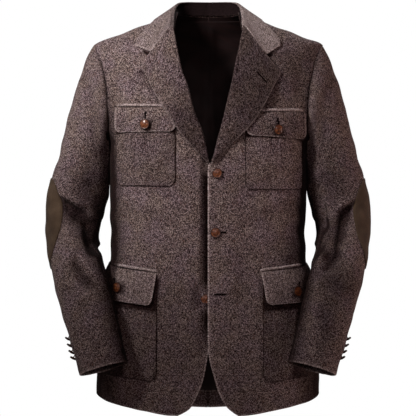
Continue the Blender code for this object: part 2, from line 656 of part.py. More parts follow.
def sleeve_at(angle, station):
    """Sleeve skin: stations below 0 are the cap between armhole and first ring."""
    angle, station = np.broadcast_arrays(angle, station)
    ring, along = sleeve_ring(angle, np.maximum(station, 0))
    start = armhole_loop(angle)
    t = np.clip(1 + station / CAP_LENGTH, 0, 1)[..., None]
    outside = np.cos(angle)
    leave = np.stack((CAP_LEAVE[0] + CAP_LEAVE_OUTSIDE[0] * outside,
                      -CAP_LEAVE[1] * np.sin(angle),
                      -CAP_LEAVE[2] - CAP_LEAVE_OUTSIDE[2] * outside), -1)
    inner, outer = CAP_ARRIVE
    arrive = along * (inner + (outer - inner) * (outside + 1) / 2)[..., None]
    cap = (start * (1 + 2 * t) * (1 - t) ** 2 + ring * t * t * (3 - 2 * t)
           + leave * t * (1 - t) ** 2 - arrive * t * t * (1 - t))
    return beside_body(np.where(t < 1, cap, ring))


def beside_body(points):
    """Sleeve points below the armhole, kept outside the body's side.

    The x of the side comes from the ring's superellipse; the greater of it and
    the sleeve's own x is taken softly, as half of sum and root of squares.
    """
    x, y, z = points[..., 0], points[..., 1], points[..., 2]
    n = body("squareness", z)
    depth = np.where(y < 0, body("front", z), body("back", z))
    side_x = body("half_width", z) * (1 - np.clip(np.abs(y) / depth, 0, 1) ** n) ** (1 / n)
    over = x - (side_x + SLEEVE_REST)
    pressed = x + (np.sqrt(over ** 2 + SIDE_SOFTNESS ** 2) - over) / 2
    below = 1 - ramp(z, ARMHOLE_FOOT - 0.010, ARMHOLE_FOOT + 0.010)
    return np.stack((x + below * (pressed - x), y, z), axis=-1)


def sleeve_skin(angle, station, out=0.0):
    """The sleeve's skin moved out along its normal."""
    angle, station = np.broadcast_arrays(np.asarray(angle, float), np.asarray(station, float))
    small = 2e-3
    low, high = np.clip(station - small, -CAP_LENGTH, 1), np.clip(station + small, -CAP_LENGTH, 1)
    round_it = sleeve_at(angle + small, station) - sleeve_at(angle - small, station)
    down = sleeve_at(angle, high) - sleeve_at(angle, low)
    normal = unit(np.cross(round_it, down))
    normal *= np.sign((normal[..., :1] * np.cos(angle)[..., None]
                       - normal[..., 1:2] * np.sin(angle)[..., None]) + 1e-9)
    return sleeve_at(angle, station) + normal * np.asarray(out)[..., None]


SLEEVE_ROWS = np.concatenate((
    [-CAP_LENGTH * (1 - CAP_GAP)], np.linspace(-0.33, -0.08, 4), np.linspace(0, 0.6, 7),
    np.linspace(0.72, 1.0, 3)))


def sleeve_piece(name, side, span, columns):
    start, end = np.radians(span)
    half_gap = SEAM / 2 / arm("half_width", 0.5)
    angle = np.linspace(start + half_gap, end - half_gap, columns)
    rows = SLEEVE_ROWS[:, None]
    wall_from(name + side, mirrored(side, sleeve_skin(angle, rows)),
              mirrored(side, sleeve_skin(angle, rows, -WALL)), "tweed")


def elbow_patch(side):
    """Oval of suede: rings from its middle out, on the sleeve's skin."""
    turn = np.linspace(0, 2 * np.pi, 18, endpoint=False)
    middle = (PATCH_FROM + PATCH_TO) / 2
    reach = (PATCH_TO - PATCH_FROM) / 2
    sizes = np.array([0.03, 0.4, 0.72, 1.0])
    angle = np.radians(PATCH_CENTRE + PATCH_SPREAD * np.cos(turn) * sizes[:, None])
    station = middle + reach * np.sin(turn) * sizes[:, None]
    bottom = sleeve_skin(angle, station, PATCH_REST)
    top = sleeve_skin(angle, station, PATCH_REST + PATCH_WALL)
    rows = np.concatenate((top, bottom[::-1]), axis=0)
    disc_rows("elbow_patch_" + side, mirrored(side, rows), "suede")


def disc_rows(name, rows, look):
    """A closed body from rows of rings, the first and the last one filled."""
    points = rows.reshape(-1, 3)
    index = np.arange(len(points)).reshape(rows.shape[:2])
    right = np.roll(index, -1, axis=1)
    quads = np.stack((index[:-1], index[1:], right[1:], right[:-1]), -1).reshape(-1, 4)
    faces = short_triangles(points, quads).tolist() + [index[0].tolist(), index[-1][::-1].tolist()]
    if volume(points - points.mean(0), np.array(faces[:-2])) < 0:
        faces = [face[::-1] for face in faces]
    make_object(name, points, faces, look)


def cuff_lining(side):
    """Short tube of lining inside the cuff."""
    angle = np.linspace(0, 2 * np.pi, 20, endpoint=False)
    rows = np.array([0.80, 0.86, 0.985])[:, None]
    depth = WALL + CUFF_REST
    wall_from("cuff_lining_" + side, mirrored(side, sleeve_skin(angle, rows, -depth)),
              mirrored(side, sleeve_skin(angle, rows, -depth - LINING_WALL)),
              "lining", closed=True)


# ------------------------------------------------------------------- buttons

def button(name, foot, normal, radius, shank):
    """Turned button: a shank, a flat underside, a raised rim and a low dome."""
    section = np.array(BUTTON_SECTION)
    profile = np.concatenate((section[:1], section + (0.0, shank)))
    turn = np.linspace(0, 2 * np.pi, 10, endpoint=False)
    normal = unit(np.asarray(normal, float))
    side_way = unit(np.cross(normal, (0, 0, 1.0)))
    up_way = np.cross(side_way, normal)
    ring = np.cos(turn)[:, None] * side_way + np.sin(turn)[:, None] * up_way
    points = foot + profile[:, None, :1] * radius * ring + profile[:, None, 1:] * normal
    disc_rows(name, points, "button")


def front_button(name, side, x, z, base, radius):
    """Button whose foot stands off the front's face by base."""
    angle = front_angle(np.array(x), np.array(z))
    face = lift(side, angle, z)
    foot = skin(angle, z, face + base)
    normal = skin(angle, z, face + base + 1.0) - foot
    button(name, mirrored(side, foot), mirrored(side, normal), radius, FRONT_SHANK)


def cuff_buttons(side):
    """Four at the back of each cuff, each leaning over the next one."""
    angle = np.radians(CUFF_BUTTON_ANGLE)
    tilt = np.radians(CUFF_BUTTON_TILT)
    for number, station in enumerate(CUFF_BUTTON_STATIONS, start=1):
        foot = sleeve_skin(angle, station, CUFF_FOOT)
        outwards = sleeve_skin(angle, station, CUFF_FOOT + 1.0) - foot
        to_cuff = unit(sleeve_skin(angle, station + 0.01) - sleeve_skin(angle, station))
        normal = outwards * np.cos(tilt) + to_cuff * np.sin(tilt)
        button("cuff_button_%s_%d" % (side, number), mirrored(side, foot),
               mirrored(side, normal), CUFF_BUTTON, CUFF_SHANK)


def buttons():
    for row in FRONT_BUTTONS:
        front_button(*row)
    for side in ("left", "right"):
        cuff_buttons(side)


def build():
    for old in list(bpy.data.objects):
        bpy.data.objects.remove(old, do_unlink=True)
    for side in ("right", "left"):
        front_panel(side)
        back_panel(side)
        pockets(side)
        lapel(side)
        sleeve_piece("top_sleeve_", side, TOP_SLEEVE, 10)
        sleeve_piece("under_sleeve_", side, UNDER_SLEEVE, 8)
        elbow_patch(side)
        cuff_lining(side)
    collar()
    back_lining()
    buttons()


build()
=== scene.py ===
"""Tweed hacking jacket: the finished looks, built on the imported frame.

Every piece of cloth is a surface worked out as an array of points, rows by
columns, given a wall and a rounded edge. Pieces that lie on a panel are made
from that panel's own surface, moved out. Metres, +Z up, fronts face -Y, +X is
the wearer's left. "left" and "right" are the wearer's.
"""

import bpy
import numpy as np
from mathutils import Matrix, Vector


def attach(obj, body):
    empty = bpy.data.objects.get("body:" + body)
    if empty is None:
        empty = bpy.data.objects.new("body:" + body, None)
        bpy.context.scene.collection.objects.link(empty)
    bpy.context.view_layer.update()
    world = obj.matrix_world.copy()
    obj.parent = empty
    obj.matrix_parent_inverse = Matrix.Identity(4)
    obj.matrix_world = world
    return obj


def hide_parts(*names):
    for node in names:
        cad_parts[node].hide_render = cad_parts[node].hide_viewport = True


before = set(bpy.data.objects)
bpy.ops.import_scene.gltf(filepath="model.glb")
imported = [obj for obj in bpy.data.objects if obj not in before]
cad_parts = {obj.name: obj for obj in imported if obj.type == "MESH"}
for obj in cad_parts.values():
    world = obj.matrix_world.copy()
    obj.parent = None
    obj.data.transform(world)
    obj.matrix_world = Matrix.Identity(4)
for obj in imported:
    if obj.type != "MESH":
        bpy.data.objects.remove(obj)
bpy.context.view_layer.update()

# ---- dimensions

WALL = 0.0026            # tweed with its canvas and turned edge
POCKET_WALL = 0.0019     # pockets, flaps, patches
LINING_WALL = 0.0008
REST = 0.0006            # space under a piece that lies on a panel
ROLL_RADIUS = 0.0036     # soft roll of collar and lapels
ROLL_STAND = 0.0062      # how far that roll stands off the panel
ROLL_SETBACK = 0.0020    # the panel's edge lies this far behind the roll line

NAPE = 0.004             # top of the back at the collar seam
SHOULDER_TIP = -0.0612   # height of the armhole's top
ARMHOLE_FOOT = -0.268    # height of the underarm point
NECK_POINT = -0.006      # top of the front at the shoulder seam
BREAK = -0.302           # where the fronts start to turn back as lapels
SKIRT = -0.650           # below this the rows bend to follow the hem
HEM = -0.780             # nominal hem

LAP = 0.0040             # the left front lies this far above the right one
LAP_FULL, LAP_NONE = 0.034, 0.085     # x where the lift is whole, and gone
SIDE_SEAM = 100.0        # angle of the side seam below the waist, degrees

FRONT_BUTTON = 0.0100    # radii of the buttons
POCKET_BUTTON = 0.0102
CUFF_BUTTON = 0.0066
FRONT_SHANK = 0.0016     # thread shanks under them
CUFF_SHANK = 0.0046
DENTS = 0.01             # how far a button is from round, as a share of its radius
CUFF_FOOT = 0.0011       # the leaning shanks' middle stands this far off the sleeve
CUFF_BUTTON_ANGLE = -20.0        # round the sleeve, degrees
CUFF_BUTTON_TILT = 40.0          # they lean towards the cuff, degrees
CUFF_BUTTON_STATIONS = (0.835, 0.861, 0.886, 0.911)
STITCH_PITCH = 0.0036    # from one edge stitch to the next
EDGE_STITCH = 0.0055     # how far the stitching lies from an edge

BODY_COLUMNS = ("height", "half_width", "front", "back", "squareness")
BODY = (
    (0.004, 0.063, 0.04, 0.074, 2.1),     # neck
    (-0.0125, 0.107, 0.06, 0.084, 2.1),
    (-0.0368, 0.171, 0.086, 0.1, 2.15),   # along the shoulder
    (-0.063, 0.23, 0.104, 0.112, 2.2),   # shoulder tip
    (-0.085, 0.2335, 0.113, 0.119, 2.25),
    (-0.13, 0.232, 0.124, 0.127, 2.3),
    (-0.18, 0.2255, 0.131, 0.131, 2.35),
    (-0.225, 0.212, 0.135, 0.13, 2.4),    # chest
    (-0.25, 0.2025, 0.1365, 0.128, 2.4),
    (-0.27, 0.1975, 0.137, 0.126, 2.4),   # underarm
    (-0.32, 0.1965, 0.1365, 0.118, 2.4),
    (-0.385, 0.196, 0.135, 0.107, 2.4),
    (-0.43, 0.1935, 0.134, 0.102, 2.4),   # waist
    (-0.48, 0.195, 0.134, 0.105, 2.4),
    (-0.55, 0.2035, 0.136, 0.116, 2.4),
    (-0.62, 0.2125, 0.139, 0.127, 2.35),   # hip
    (-0.7, 0.221, 0.142, 0.133, 2.3),
    (-0.8, 0.2235, 0.144, 0.133, 2.3),
)

ARMHOLE_COLUMNS = ("height", "x")
ARMHOLE = (
    (-0.058, 0.2262), (-0.085, 0.2165), (-0.103, 0.2095), (-0.131, 0.203),
    (-0.167, 0.198), (-0.21, 0.196), (-0.24, 0.1965), (-0.258, 0.1985),
    (-0.270, 0.2010),
)

# How far the hem lies above or below its nominal height, round the body.
HEM_COLUMNS = ("angle", "rise")
HEM_SHAPE = (
    (0, -0.006), (26, -0.006), (45, 0.002), (66, 0.014), (90, 0.027),
    (106, 0.018), (128, -0.001), (150, -0.012), (180, -0.016),
)

# Front edges in the front view, roll line first, then the cutaway.
EDGE_COLUMNS = ("height", "x")
EDGES = {
    "left": (
        (0.001, 0.0698), (-0.0257, 0.0709), (-0.0743, 0.0631), (-0.1108, 0.054),
        (-0.1412, 0.0486), (-0.187, 0.0379), (-0.2025, 0.0346), (-0.2553, 0.0207),
        (-0.2922, 0.0106), (BREAK, 0.0016), (-0.32, 0.0006), (-0.63, 0.0006),
        (-0.6513, 0.0008), (-0.6726, 0.003), (-0.7035, 0.011), (-0.7324, 0.0199),
        (-0.7614, 0.0347), (-0.778, 0.0552), (HEM, 0.06),
    ),
    "right": (
        (-0.0044, 0.069), (-0.0208, 0.07), (-0.0588, 0.0643), (-0.0872, 0.0592),
        (-0.1243, 0.0513), (-0.1441, 0.0433), (-0.1896, 0.0313), (-0.207, 0.0262),
        (-0.2381, 0.013), (-0.269, 0.006), (-0.2951, -0.001), (-0.31, -0.022),
        (-0.33, -0.027), (-0.44, -0.025), (-0.56, -0.014), (-0.62, -0.006),
        (-0.6513, -0.002), (-0.6668, 0.001), (-0.6919, 0.0054), (-0.717, 0.0112),
        (-0.7421, 0.0216), (-0.7664, 0.0355), (-0.778, 0.054), (HEM, 0.06),
    ),
}

# Lapels: height where each row leaves the roll line, and where it ends.
LAPEL_COLUMNS = ("row", "roll_height", "edge_x", "edge_height")
LAPELS = {
    "left": (
        (0.0, -0.295, 0.0115, -0.2985), (0.14, -0.264, 0.0379, -0.2686),
        (0.28, -0.226, 0.062, -0.2446), (0.42, -0.188, 0.083, -0.222),
        (0.58, -0.148, 0.102, -0.194), (0.78, -0.094, 0.12, -0.16),
        (1.0, -0.037, 0.1404, -0.1227),
    ),
    "right": (
        (0.0, -0.296, -0.001, -0.299), (0.14, -0.264, 0.025, -0.273),
        (0.28, -0.226, 0.048, -0.246), (0.42, -0.188, 0.07, -0.2145),
        (0.58, -0.148, 0.089, -0.1835), (0.78, -0.094, 0.109, -0.147),
        (1.0, -0.037, 0.1287, -0.1081),
    ),
}
NOTCH = {"left": (0.1117, -0.0870), "right": (0.1107, -0.0812)}     # x, height
GORGE_TOP = (0.0703, -0.0330)
GORGE_GAP = 0.0012       # half the space kept along the gorge seam
NOTCH_AT = 0.60          # share of the row at which it turns the notch
LEAF_SWELL = 0.0016      # how far the collar's leaf is crowned

COLLAR_COLUMNS = ("station", "fold_x", "fold_y", "fold_z", "edge_angle",
                  "edge_z", "seam_x", "seam_y", "seam_z")
COLLAR = (
    (0.0, 0.0, 0.08, 0.031, 180.0, -0.012, 0.0, 0.072, 0.007),
    (0.2, 0.033, 0.073, 0.0308, 152.0, -0.0122, 0.03, 0.0655, 0.0068),
    (0.38, 0.056, 0.054, 0.028, 124.0, -0.013, 0.049, 0.049, 0.0062),
    (0.54, 0.066, 0.028, 0.019, 97.0, -0.01, 0.0585, 0.026, 0.0066),
    (0.68, 0.069, -0.002, 0.0065, 77.0, -0.0152, 0.0605, 0.0, 0.0064),
    (0.84, 0.07, -0.036, -0.01, 63.5, -0.0355, 0.0635, -0.032, -0.01),
    (1.0, 0.0703, -0.068, -0.03, 57.1, -0.07, 0.066, -0.064, -0.033),
)

# Sleeve rings along the arm, from just below the armhole to the cuff.
SLEEVE_COLUMNS = ("station", "x", "y", "z", "half_width", "half_depth")
SLEEVE = (
    (0.0, 0.2455, 0.002, -0.3, 0.0555, 0.064),
    (0.12, 0.2555, -0.002, -0.345, 0.0595, 0.061),
    (0.24, 0.2645, -0.006, -0.39, 0.0575, 0.0585),
    (0.36, 0.268, -0.016, -0.433, 0.053, 0.056),     # elbow
    (0.48, 0.2625, -0.044, -0.476, 0.0515, 0.053),
    (0.62, 0.2485, -0.093, -0.527, 0.052, 0.048),
    (0.78, 0.23, -0.123, -0.59, 0.0505, 0.0445),
    (0.9, 0.213, -0.145, -0.648, 0.049, 0.042),
    (1.0, 0.2, -0.159, -0.693, 0.0475, 0.0405),     # cuff
)
CUFF_TILT = 0.33         # how far the cuff's ring turns back towards level
SLEEVE_REST = 0.0006     # between a sleeve and the body's side
SIDE_SOFTNESS = 0.002    # over which a sleeve's curve gives way to the body's
CAP_LENGTH = 0.4         # stations that the sleeve's cap takes up
CAP_GAP = 0.006          # share of the cap that is cut back at the armhole
ARMHOLE_SEAM = -0.0004   # the cap starts just inside the seam line
SLEEVE_HEAD = (0.0008, 0.0, 0.0012)          # and at the top a little outside and above it

# How a cap leaves the armhole: across, along and down, and how much more so
# on its outer side; and how fast it meets the first ring, inside and outside.
CAP_LEAVE = (0.050, 0.050, 0.050)
CAP_LEAVE_OUTSIDE = (0.036, 0.0, 0.056)
CAP_ARRIVE = (0.09, 0.19)

TOP_SLEEVE = (-55.0, 150.0)      # angles round the sleeve, 0 outwards, 90 in front
UNDER_SLEEVE = (150.0, 305.0)
BEND = 0.06              # stations over which a ring's tilt is averaged
SLEEVE_GIRTH = 0.052     # mean radius, for the slow unevenness round the arm


def by_side(columns, left, right):
    """A row for each side, its values by the columns' names."""
    return {"left": dict(zip(columns, left)), "right": dict(zip(columns, right))}


# Patch pockets and flaps on the fronts.
# "rear" is x on the chest, and degrees round the body on the lower ones.
POCKET_COLUMNS = ("front_x", "slant", "rear", "top_front", "top_rear", "bottom_front",
                  "bottom_rear", "corner", "swell")
CHEST_POCKETS = by_side(
    POCKET_COLUMNS,
    left=(0.072, 0.0, 0.183, -0.201, -0.201, -0.349, -0.349, 0.014, 0.002),
    right=(0.063, 0.0, 0.178, -0.193, -0.19, -0.343, -0.341, 0.016, 0.002))
CHEST_FLAPS = by_side(
    POCKET_COLUMNS,
    left=(0.074, 0.0, 0.187, -0.2, -0.199, -0.244, -0.249, 0.012, 0.0012),
    right=(0.062, 0.0, 0.1785, -0.192, -0.189, -0.237, -0.236, 0.014, 0.0012))
LOWER_POCKETS = by_side(
    POCKET_COLUMNS,
    left=(0.106, 0.0, 92.0, -0.512, -0.496, -0.724, -0.706, 0.02, 0.0045),
    right=(0.099, 0.0, 92.0, -0.514, -0.494, -0.722, -0.704, 0.02, 0.0045))
LOWER_FLAPS = by_side(
    POCKET_COLUMNS,
    left=(0.1025, 0.009, 93.0, -0.51, -0.495, -0.5735, -0.564, 0.012, 0.003),
    right=(0.099, 0.009, 93.0, -0.512, -0.492, -0.575, -0.555, 0.012, 0.003))

PATCH_CENTRE, PATCH_SPREAD = 4.0, 65.0       # elbow patch round the sleeve, degrees
PATCH_FROM, PATCH_TO = 0.105, 0.525          # and along it, in stations
PATCH_MIDDLE, PATCH_REACH = (PATCH_FROM + PATCH_TO) / 2, (PATCH_TO - PATCH_FROM) / 2

# Buttons on the fronts: name, side, x and height in the front view, how far
# their foot stands off the front's face, and radius.
FRONT_BUTTONS = (
    ("front_button_top", "left", 0.0174, -0.3175, 0.0006, FRONT_BUTTON),
    ("front_button_middle", "left", 0.0143, -0.4325, 0.0006, FRONT_BUTTON),
    ("front_button_bottom", "right", 0.0048, -0.5605, 0.0006, FRONT_BUTTON),
    ("chest_button_left", "left", 0.1322, -0.2322, 0.008, POCKET_BUTTON),
    ("chest_button_right", "right", 0.119, -0.2224, 0.008, POCKET_BUTTON),
    ("lower_button_left", "left", 0.1645, -0.5488, 0.012, POCKET_BUTTON),
    ("lower_button_right", "right", 0.1674, -0.541, 0.012, POCKET_BUTTON),
)

# ---- creases

# Each row is a soft trough from one place to another in the front (or back)
# view, x outwards from the centre and z up. It bows sideways by "bow", is
# "width" wide to each side and "depth" deep, and "lip" is the height of the
# ridge along its upper side, as a share of the depth. With "skew" its upper
# side is steeper and its lower one gentler, as where the cloth above sags over.
CREASE_SWELLS, CREASE_DIES = (-0.10, 0.18), (0.72, 1.12)      # shares of its length
LIP_AT = 1.9             # the ridge lies this many widths from the trough's middle
CREASE_COLUMNS = ("from_x", "from_z", "to_x", "to_z", "bow", "width", "depth", "lip", "skew")
FRONT_CREASES = {
    "right": (
        (0.186, -0.1, 0.178, -0.19, 0.004, 0.012, 0.003, 0.3, 0.0),
        (0.129, -0.112, 0.126, -0.158, 0.003, 0.01, 0.004, 0.1, 0.0),
        (0.15, -0.3, 0.06, -0.372, -0.006, 0.016, 0.0022, 0.5, 0.2),
        (0.17, -0.395, 0.05, -0.425, 0.006, 0.018, 0.0022, 0.4, 0.2),
        (0.113, -0.352, 0.113, -0.5, 0.0, 0.003, 0.0011, 0.6, 0.0),
        (0.08, -0.47, 0.05, -0.64, 0.006, 0.02, 0.002, 0.4, 0.0),
        (0.03, -0.64, 0.06, -0.74, 0.004, 0.018, 0.002, 0.4, 0.0),
    ),
    "left": (
        (0.188, -0.095, 0.18, -0.18, 0.004, 0.013, 0.003, 0.3, 0.0),
        (0.155, -0.31, 0.055, -0.36, -0.006, 0.016, 0.002, 0.5, 0.2),
        (0.165, -0.385, 0.045, -0.43, 0.006, 0.018, 0.0022, 0.4, 0.2),
        (0.112, -0.36, 0.112, -0.5, 0.0, 0.003, 0.001, 0.6, 0.0),
        (0.075, -0.455, 0.06, -0.6, -0.006, 0.02, 0.002, 0.4, 0.0),
        (0.04, -0.62, 0.08, -0.745, 0.004, 0.02, 0.0022, 0.4, 0.0),
    ),
}
BACK_CREASES = (
    (0.165, -0.12, 0.15, -0.28, 0.01, 0.016, 0.004, 0.4, 0.0),
    (0.12, -0.06, 0.16, -0.11, 0.006, 0.014, 0.0022, 0.4, 0.0),
    (0.17, -0.38, 0.04, -0.405, 0.01, 0.016, 0.0034, 0.6, 0.3),
    (0.15, -0.43, 0.03, -0.44, -0.006, 0.014, 0.0026, 0.6, 0.3),
    (0.06, -0.48, 0.08, -0.7, 0.006, 0.024, 0.003, 0.3, 0.0),
    (0.14, -0.5, 0.15, -0.74, -0.006, 0.022, 0.0028, 0.3, 0.0),
)
SLEEVE_CREASES = {
    "right": (
        (0.304, -0.366, 0.246, -0.396, 0.002, 0.014, 0.015, 0.3, 0.55),
        (0.25, -0.388, 0.21, -0.47, 0.002, 0.015, 0.014, 0.15, 0.5),
        (0.232, -0.408, 0.196, -0.426, 0.002, 0.012, 0.0036, 0.2, 0.3),
        (0.24, -0.33, 0.205, -0.4, 0.006, 0.012, 0.004, 0.4, 0.2),
        (0.262, -0.478, 0.208, -0.54, -0.008, 0.015, 0.0085, 0.35, 0.3),
        (0.285, -0.54, 0.215, -0.59, 0.006, 0.012, 0.003, 0.4, 0.2),
        (0.262, -0.62, 0.19, -0.655, 0.005, 0.01, 0.0016, 0.4, 0.0),
        (0.25, -0.11, 0.225, -0.26, 0.01, 0.012, 0.003, 0.3, 0.0),
    ),
    "left": (
        (0.3, -0.374, 0.26, -0.399, 0.003, 0.012, 0.013, 0.3, 0.5),
        (0.262, -0.396, 0.247, -0.466, -0.003, 0.012, 0.0125, 0.25, 0.4),
        (0.218, -0.362, 0.228, -0.43, 0.004, 0.011, 0.0055, 0.2, 0.2),
        (0.232, -0.408, 0.196, -0.426, 0.002, 0.012, 0.0036, 0.2, 0.3),
        (0.256, -0.462, 0.212, -0.512, -0.005, 0.013, 0.011, 0.35, 0.3),
        (0.24, -0.32, 0.21, -0.365, 0.006, 0.01, 0.003, 0.4, 0.2),
        (0.285, -0.55, 0.215, -0.59, 0.006, 0.011, 0.0026, 0.4, 0.2),
        (0.262, -0.62, 0.19, -0.65, 0.005, 0.01, 0.0016, 0.4, 0.0),
        (0.25, -0.115, 0.228, -0.265, 0.01, 0.012, 0.003, 0.3, 0.0),
    ),
}
SLEEVE_BACK_CREASES = (
    (0.215, -0.33, 0.3, -0.39, 0.006, 0.011, 0.007, 0.5, 0.4),
    (0.21, -0.4, 0.29, -0.425, 0.004, 0.01, 0.0065, 0.5, 0.4),
    (0.205, -0.465, 0.28, -0.47, -0.004, 0.01, 0.0055, 0.5, 0.4),
    (0.225, -0.12, 0.235, -0.28, 0.006, 0.012, 0.003, 0.3, 0.0),
    (0.19, -0.56, 0.27, -0.59, 0.005, 0.012, 0.003, 0.4, 0.2),
)
UNEVEN_DEPTH = 0.0005    # slow unevenness of the whole cloth
UNEVEN_LENGTH = 0.045

# The right front falls away behind the edge of the left one: how deep, and
# the x where it has fallen and where it starts to, away from the button and at
# it. There it lies flatter, in a stretch to each side of the button's height.
FALL_DEPTH, FALL_AT_BUTTON = 0.0120, 0.0085
FALL_FROM, FALL_TO = 0.001, 0.019
FLAT_FROM, FLAT_TO = 0.016, 0.036
FLAT_HEIGHT, FLAT_REACH = -0.5605, 0.024


# ---- tables

def smooth(x, xs, ys):
    """Cubic through (xs, ys) that never overshoots between two rows."""
    order = np.argsort(xs)
    xs, ys = np.asarray(xs, float)[order], np.asarray(ys, float)[order]
    step = np.diff(xs)
    slope = np.diff(ys) / step
    total = slope[1:] + slope[:-1]
    inner = np.where(slope[1:] * slope[:-1] > 0,
                     2 * slope[1:] * slope[:-1] / np.where(total == 0, 1, total), 0)
    tangent = np.concatenate(([slope[0]], inner, [slope[-1]]))
    x = np.clip(x, xs[0], xs[-1])
    k = np.clip(np.searchsorted(xs, x, side="right") - 1, 0, len(step) - 1)
    t = (x - xs[k]) / step[k]
    return (ys[k] * (1 + 2 * t) * (1 - t) ** 2 + ys[k + 1] * t * t * (3 - 2 * t)
            + step[k] * (tangent[k] * t * (1 - t) ** 2 - tangent[k + 1] * t * t * (1 - t)))


def column(table, columns, name, x):
    """One named column of a table, read at x along its first column."""
    rows = np.asarray(table)
    return smooth(x, rows[:, 0], rows[:, columns.index(name)])


def ramp(x, start, end):
    """0 before start, 1 past end, smooth between."""
    t = np.clip((x - start) / (end - start), 0, 1)
    return t * t * (3 - 2 * t)


def bell(off, width, power=2):
    """1 at no distance, falling away to both sides; a higher power is flatter on top."""
    return np.exp(-(off / width) ** power)


def unit(vectors):
    """Vectors of length 1 in the same directions."""
    return vectors / np.maximum(np.linalg.norm(vectors, axis=-1, keepdims=True), 1e-12)


def mirror_sign(side):
    """1 on the left side and -1 on the right one."""
    return 1.0 if side == "left" else -1.0


def mirrored(side, points):
    """Points worked out for the left side, put on the side asked for."""
    return points * (mirror_sign(side), 1, 1)


def steps(start, end, count):
    """Even steps from the start, short of the end."""
    return np.linspace(start, end, count, endpoint=False)


# ---- relief

def creases(table, x, z):
    """Height of all the troughs of a table at (x, z).

    Along a crease the depth swells and dies smoothly; across it the trough is
    a bell curve, with a second, raised bell along its upper side.
    """
    total = np.zeros(np.broadcast(x, z).shape)
    for row in table:
        fold = dict(zip(CREASE_COLUMNS, row))
        run = np.array((fold["to_x"] - fold["from_x"], fold["to_z"] - fold["from_z"]))
        length = np.hypot(*run)
        along_x, along_z = run / length
        past_x, past_z = x - fold["from_x"], z - fold["from_z"]
        t = (past_x * along_x + past_z * along_z) / length
        upper = 1.0 if along_x > 0 else -1.0
        off = (past_z * along_x - past_x * along_z) * upper
        off = off - fold["bow"] * 4 * np.clip(t, 0, 1) * (1 - np.clip(t, 0, 1))
        fade = ramp(t, *CREASE_SWELLS) * (1 - ramp(t, *CREASE_DIES))
        above = fold["width"] * (1 - fold["skew"])
        below = fold["width"] * (1 + fold["skew"])
        trough = bell(off, np.where(off > 0, above, below))
        ridge = fold["lip"] * bell(off - LIP_AT * above, above)
        total += fold["depth"] * fade * (ridge - trough)
    return total


def uneven(x, z, seed):
    """A slow unevenness: three crossed waves of unlike lengths."""
    k = 2 * np.pi / UNEVEN_LENGTH
    return UNEVEN_DEPTH * (np.sin(k * (0.9 * x + 0.35 * z) + seed)
                           + np.sin(k * (0.4 * x - 0.8 * z) + 2.1 * seed)
                           + 0.7 * np.sin(k * 1.7 * (0.7 * x + 0.6 * z) + 3.7 * seed))


# ---- the body's skin

def body(name, z):
    """One named size of the body's ring at height z."""
    return column(BODY, BODY_COLUMNS, name, z)


def skin_at(angle, z):
    """Point where the ray at that angle meets the ring at height z.

    A ring is a superellipse: |x / half width| ^ n + |y / depth| ^ n = 1.
    """
    n = body("squareness", z)
    depth = np.where(np.cos(angle) > 0, body("front", z), body("back", z))
    radius = (np.abs(np.sin(angle) / body("half_width", z)) ** n
              + np.abs(np.cos(angle) / depth) ** n) ** (-1 / n)
    return np.stack((radius * np.sin(angle), -radius * np.cos(angle), z), axis=-1)


def skin(angle, z, out):
    """Point on the body's skin, moved out along its normal."""
    angle, z = np.broadcast_arrays(np.asarray(angle, float), np.asarray(z, float))
    small = 1e-4
    across = skin_at(angle + small, z) - skin_at(angle - small, z)
    up = skin_at(angle, z + small) - skin_at(angle, z - small)
    normal = unit(np.cross(across, up))
    return skin_at(angle, z) + normal * np.asarray(out)[..., None]


def ring_depth(half, x, z):
    """Depth of the front or back half of ring z where it passes x."""
    n = body("squareness", z)
    share = np.clip(np.abs(x) / body("half_width", z), 0, 1)
    return body(half, z) * (1 - share ** n) ** (1 / n)


def front_angle(x, z):
    """Angle at which the front half of ring z passes x."""
    return np.arctan2(x, ring_depth("front", x, z))


def back_angle(x, z):
    """Angle at which the back half of ring z passes x, between 90 and 180."""
    return np.arctan2(x, -ring_depth("back", x, z))


def front_relief(side, angle, z):
    """How far the surface of a front stands off the skin: lap, fall, creases."""
    x = skin_at(angle, z)[..., 0]
    out = creases(FRONT_CREASES[side], x, z) + uneven(x, z, 1.0 if side == "left" else 4.0)
    out = out * ramp(x, -0.01, 0.03)
    low = 1 - ramp(z, BREAK + 0.002, BREAK + 0.05)
    if side == "left":
        lap = LAP * (1 - ramp(x, LAP_FULL, LAP_NONE))
        return out + lap * (1 - ramp(z, BREAK + 0.01, BREAK + 0.09))
    flat = bell(z - FLAT_HEIGHT, FLAT_REACH, 4)
    fall = FALL_DEPTH * (1 - ramp(x, FALL_FROM, FALL_TO)) * (1 - flat)
    fall += FALL_AT_BUTTON * (1 - ramp(x, FLAT_FROM, FLAT_TO)) * flat
    return out * (1 - flat * (x < FLAT_TO)) - fall * low * ramp(z, -0.690, -0.60)


def bend_to_hem(angle, row):
    """Height of a row at an angle: level above the skirt, along the hem below."""
    degrees = np.degrees(np.abs(angle))
    share = np.clip((SKIRT - row) / (SKIRT - HEM), 0, 1)
    return row + share * column(HEM_SHAPE, HEM_COLUMNS, "rise", degrees)


# ---- meshes

def grid_normals(grid):
    """Unit normals of a grid of points, from its rows and columns."""
    return unit(np.cross(np.gradient(grid, axis=0), np.gradient(grid, axis=1)))


def run_lengths(grid, axis):
    """Distance walked along an axis of the grid, from its first line."""
    step = np.linalg.norm(np.diff(grid, axis=axis), axis=-1)
    start = np.zeros_like(np.take(step, [0], axis=axis))
    return np.concatenate((start, np.cumsum(step, axis=axis)), axis=axis)


def signed_volume(points, quads):
    """Volume inside closed quads, positive where they face outwards."""
    a, b, c, d = (points[quads[:, k]] - points.mean(0) for k in range(4))
    return (np.einsum("ij,ij->i", a, np.cross(b, c))
            + np.einsum("ij,ij->i", a, np.cross(c, d))).sum() / 6


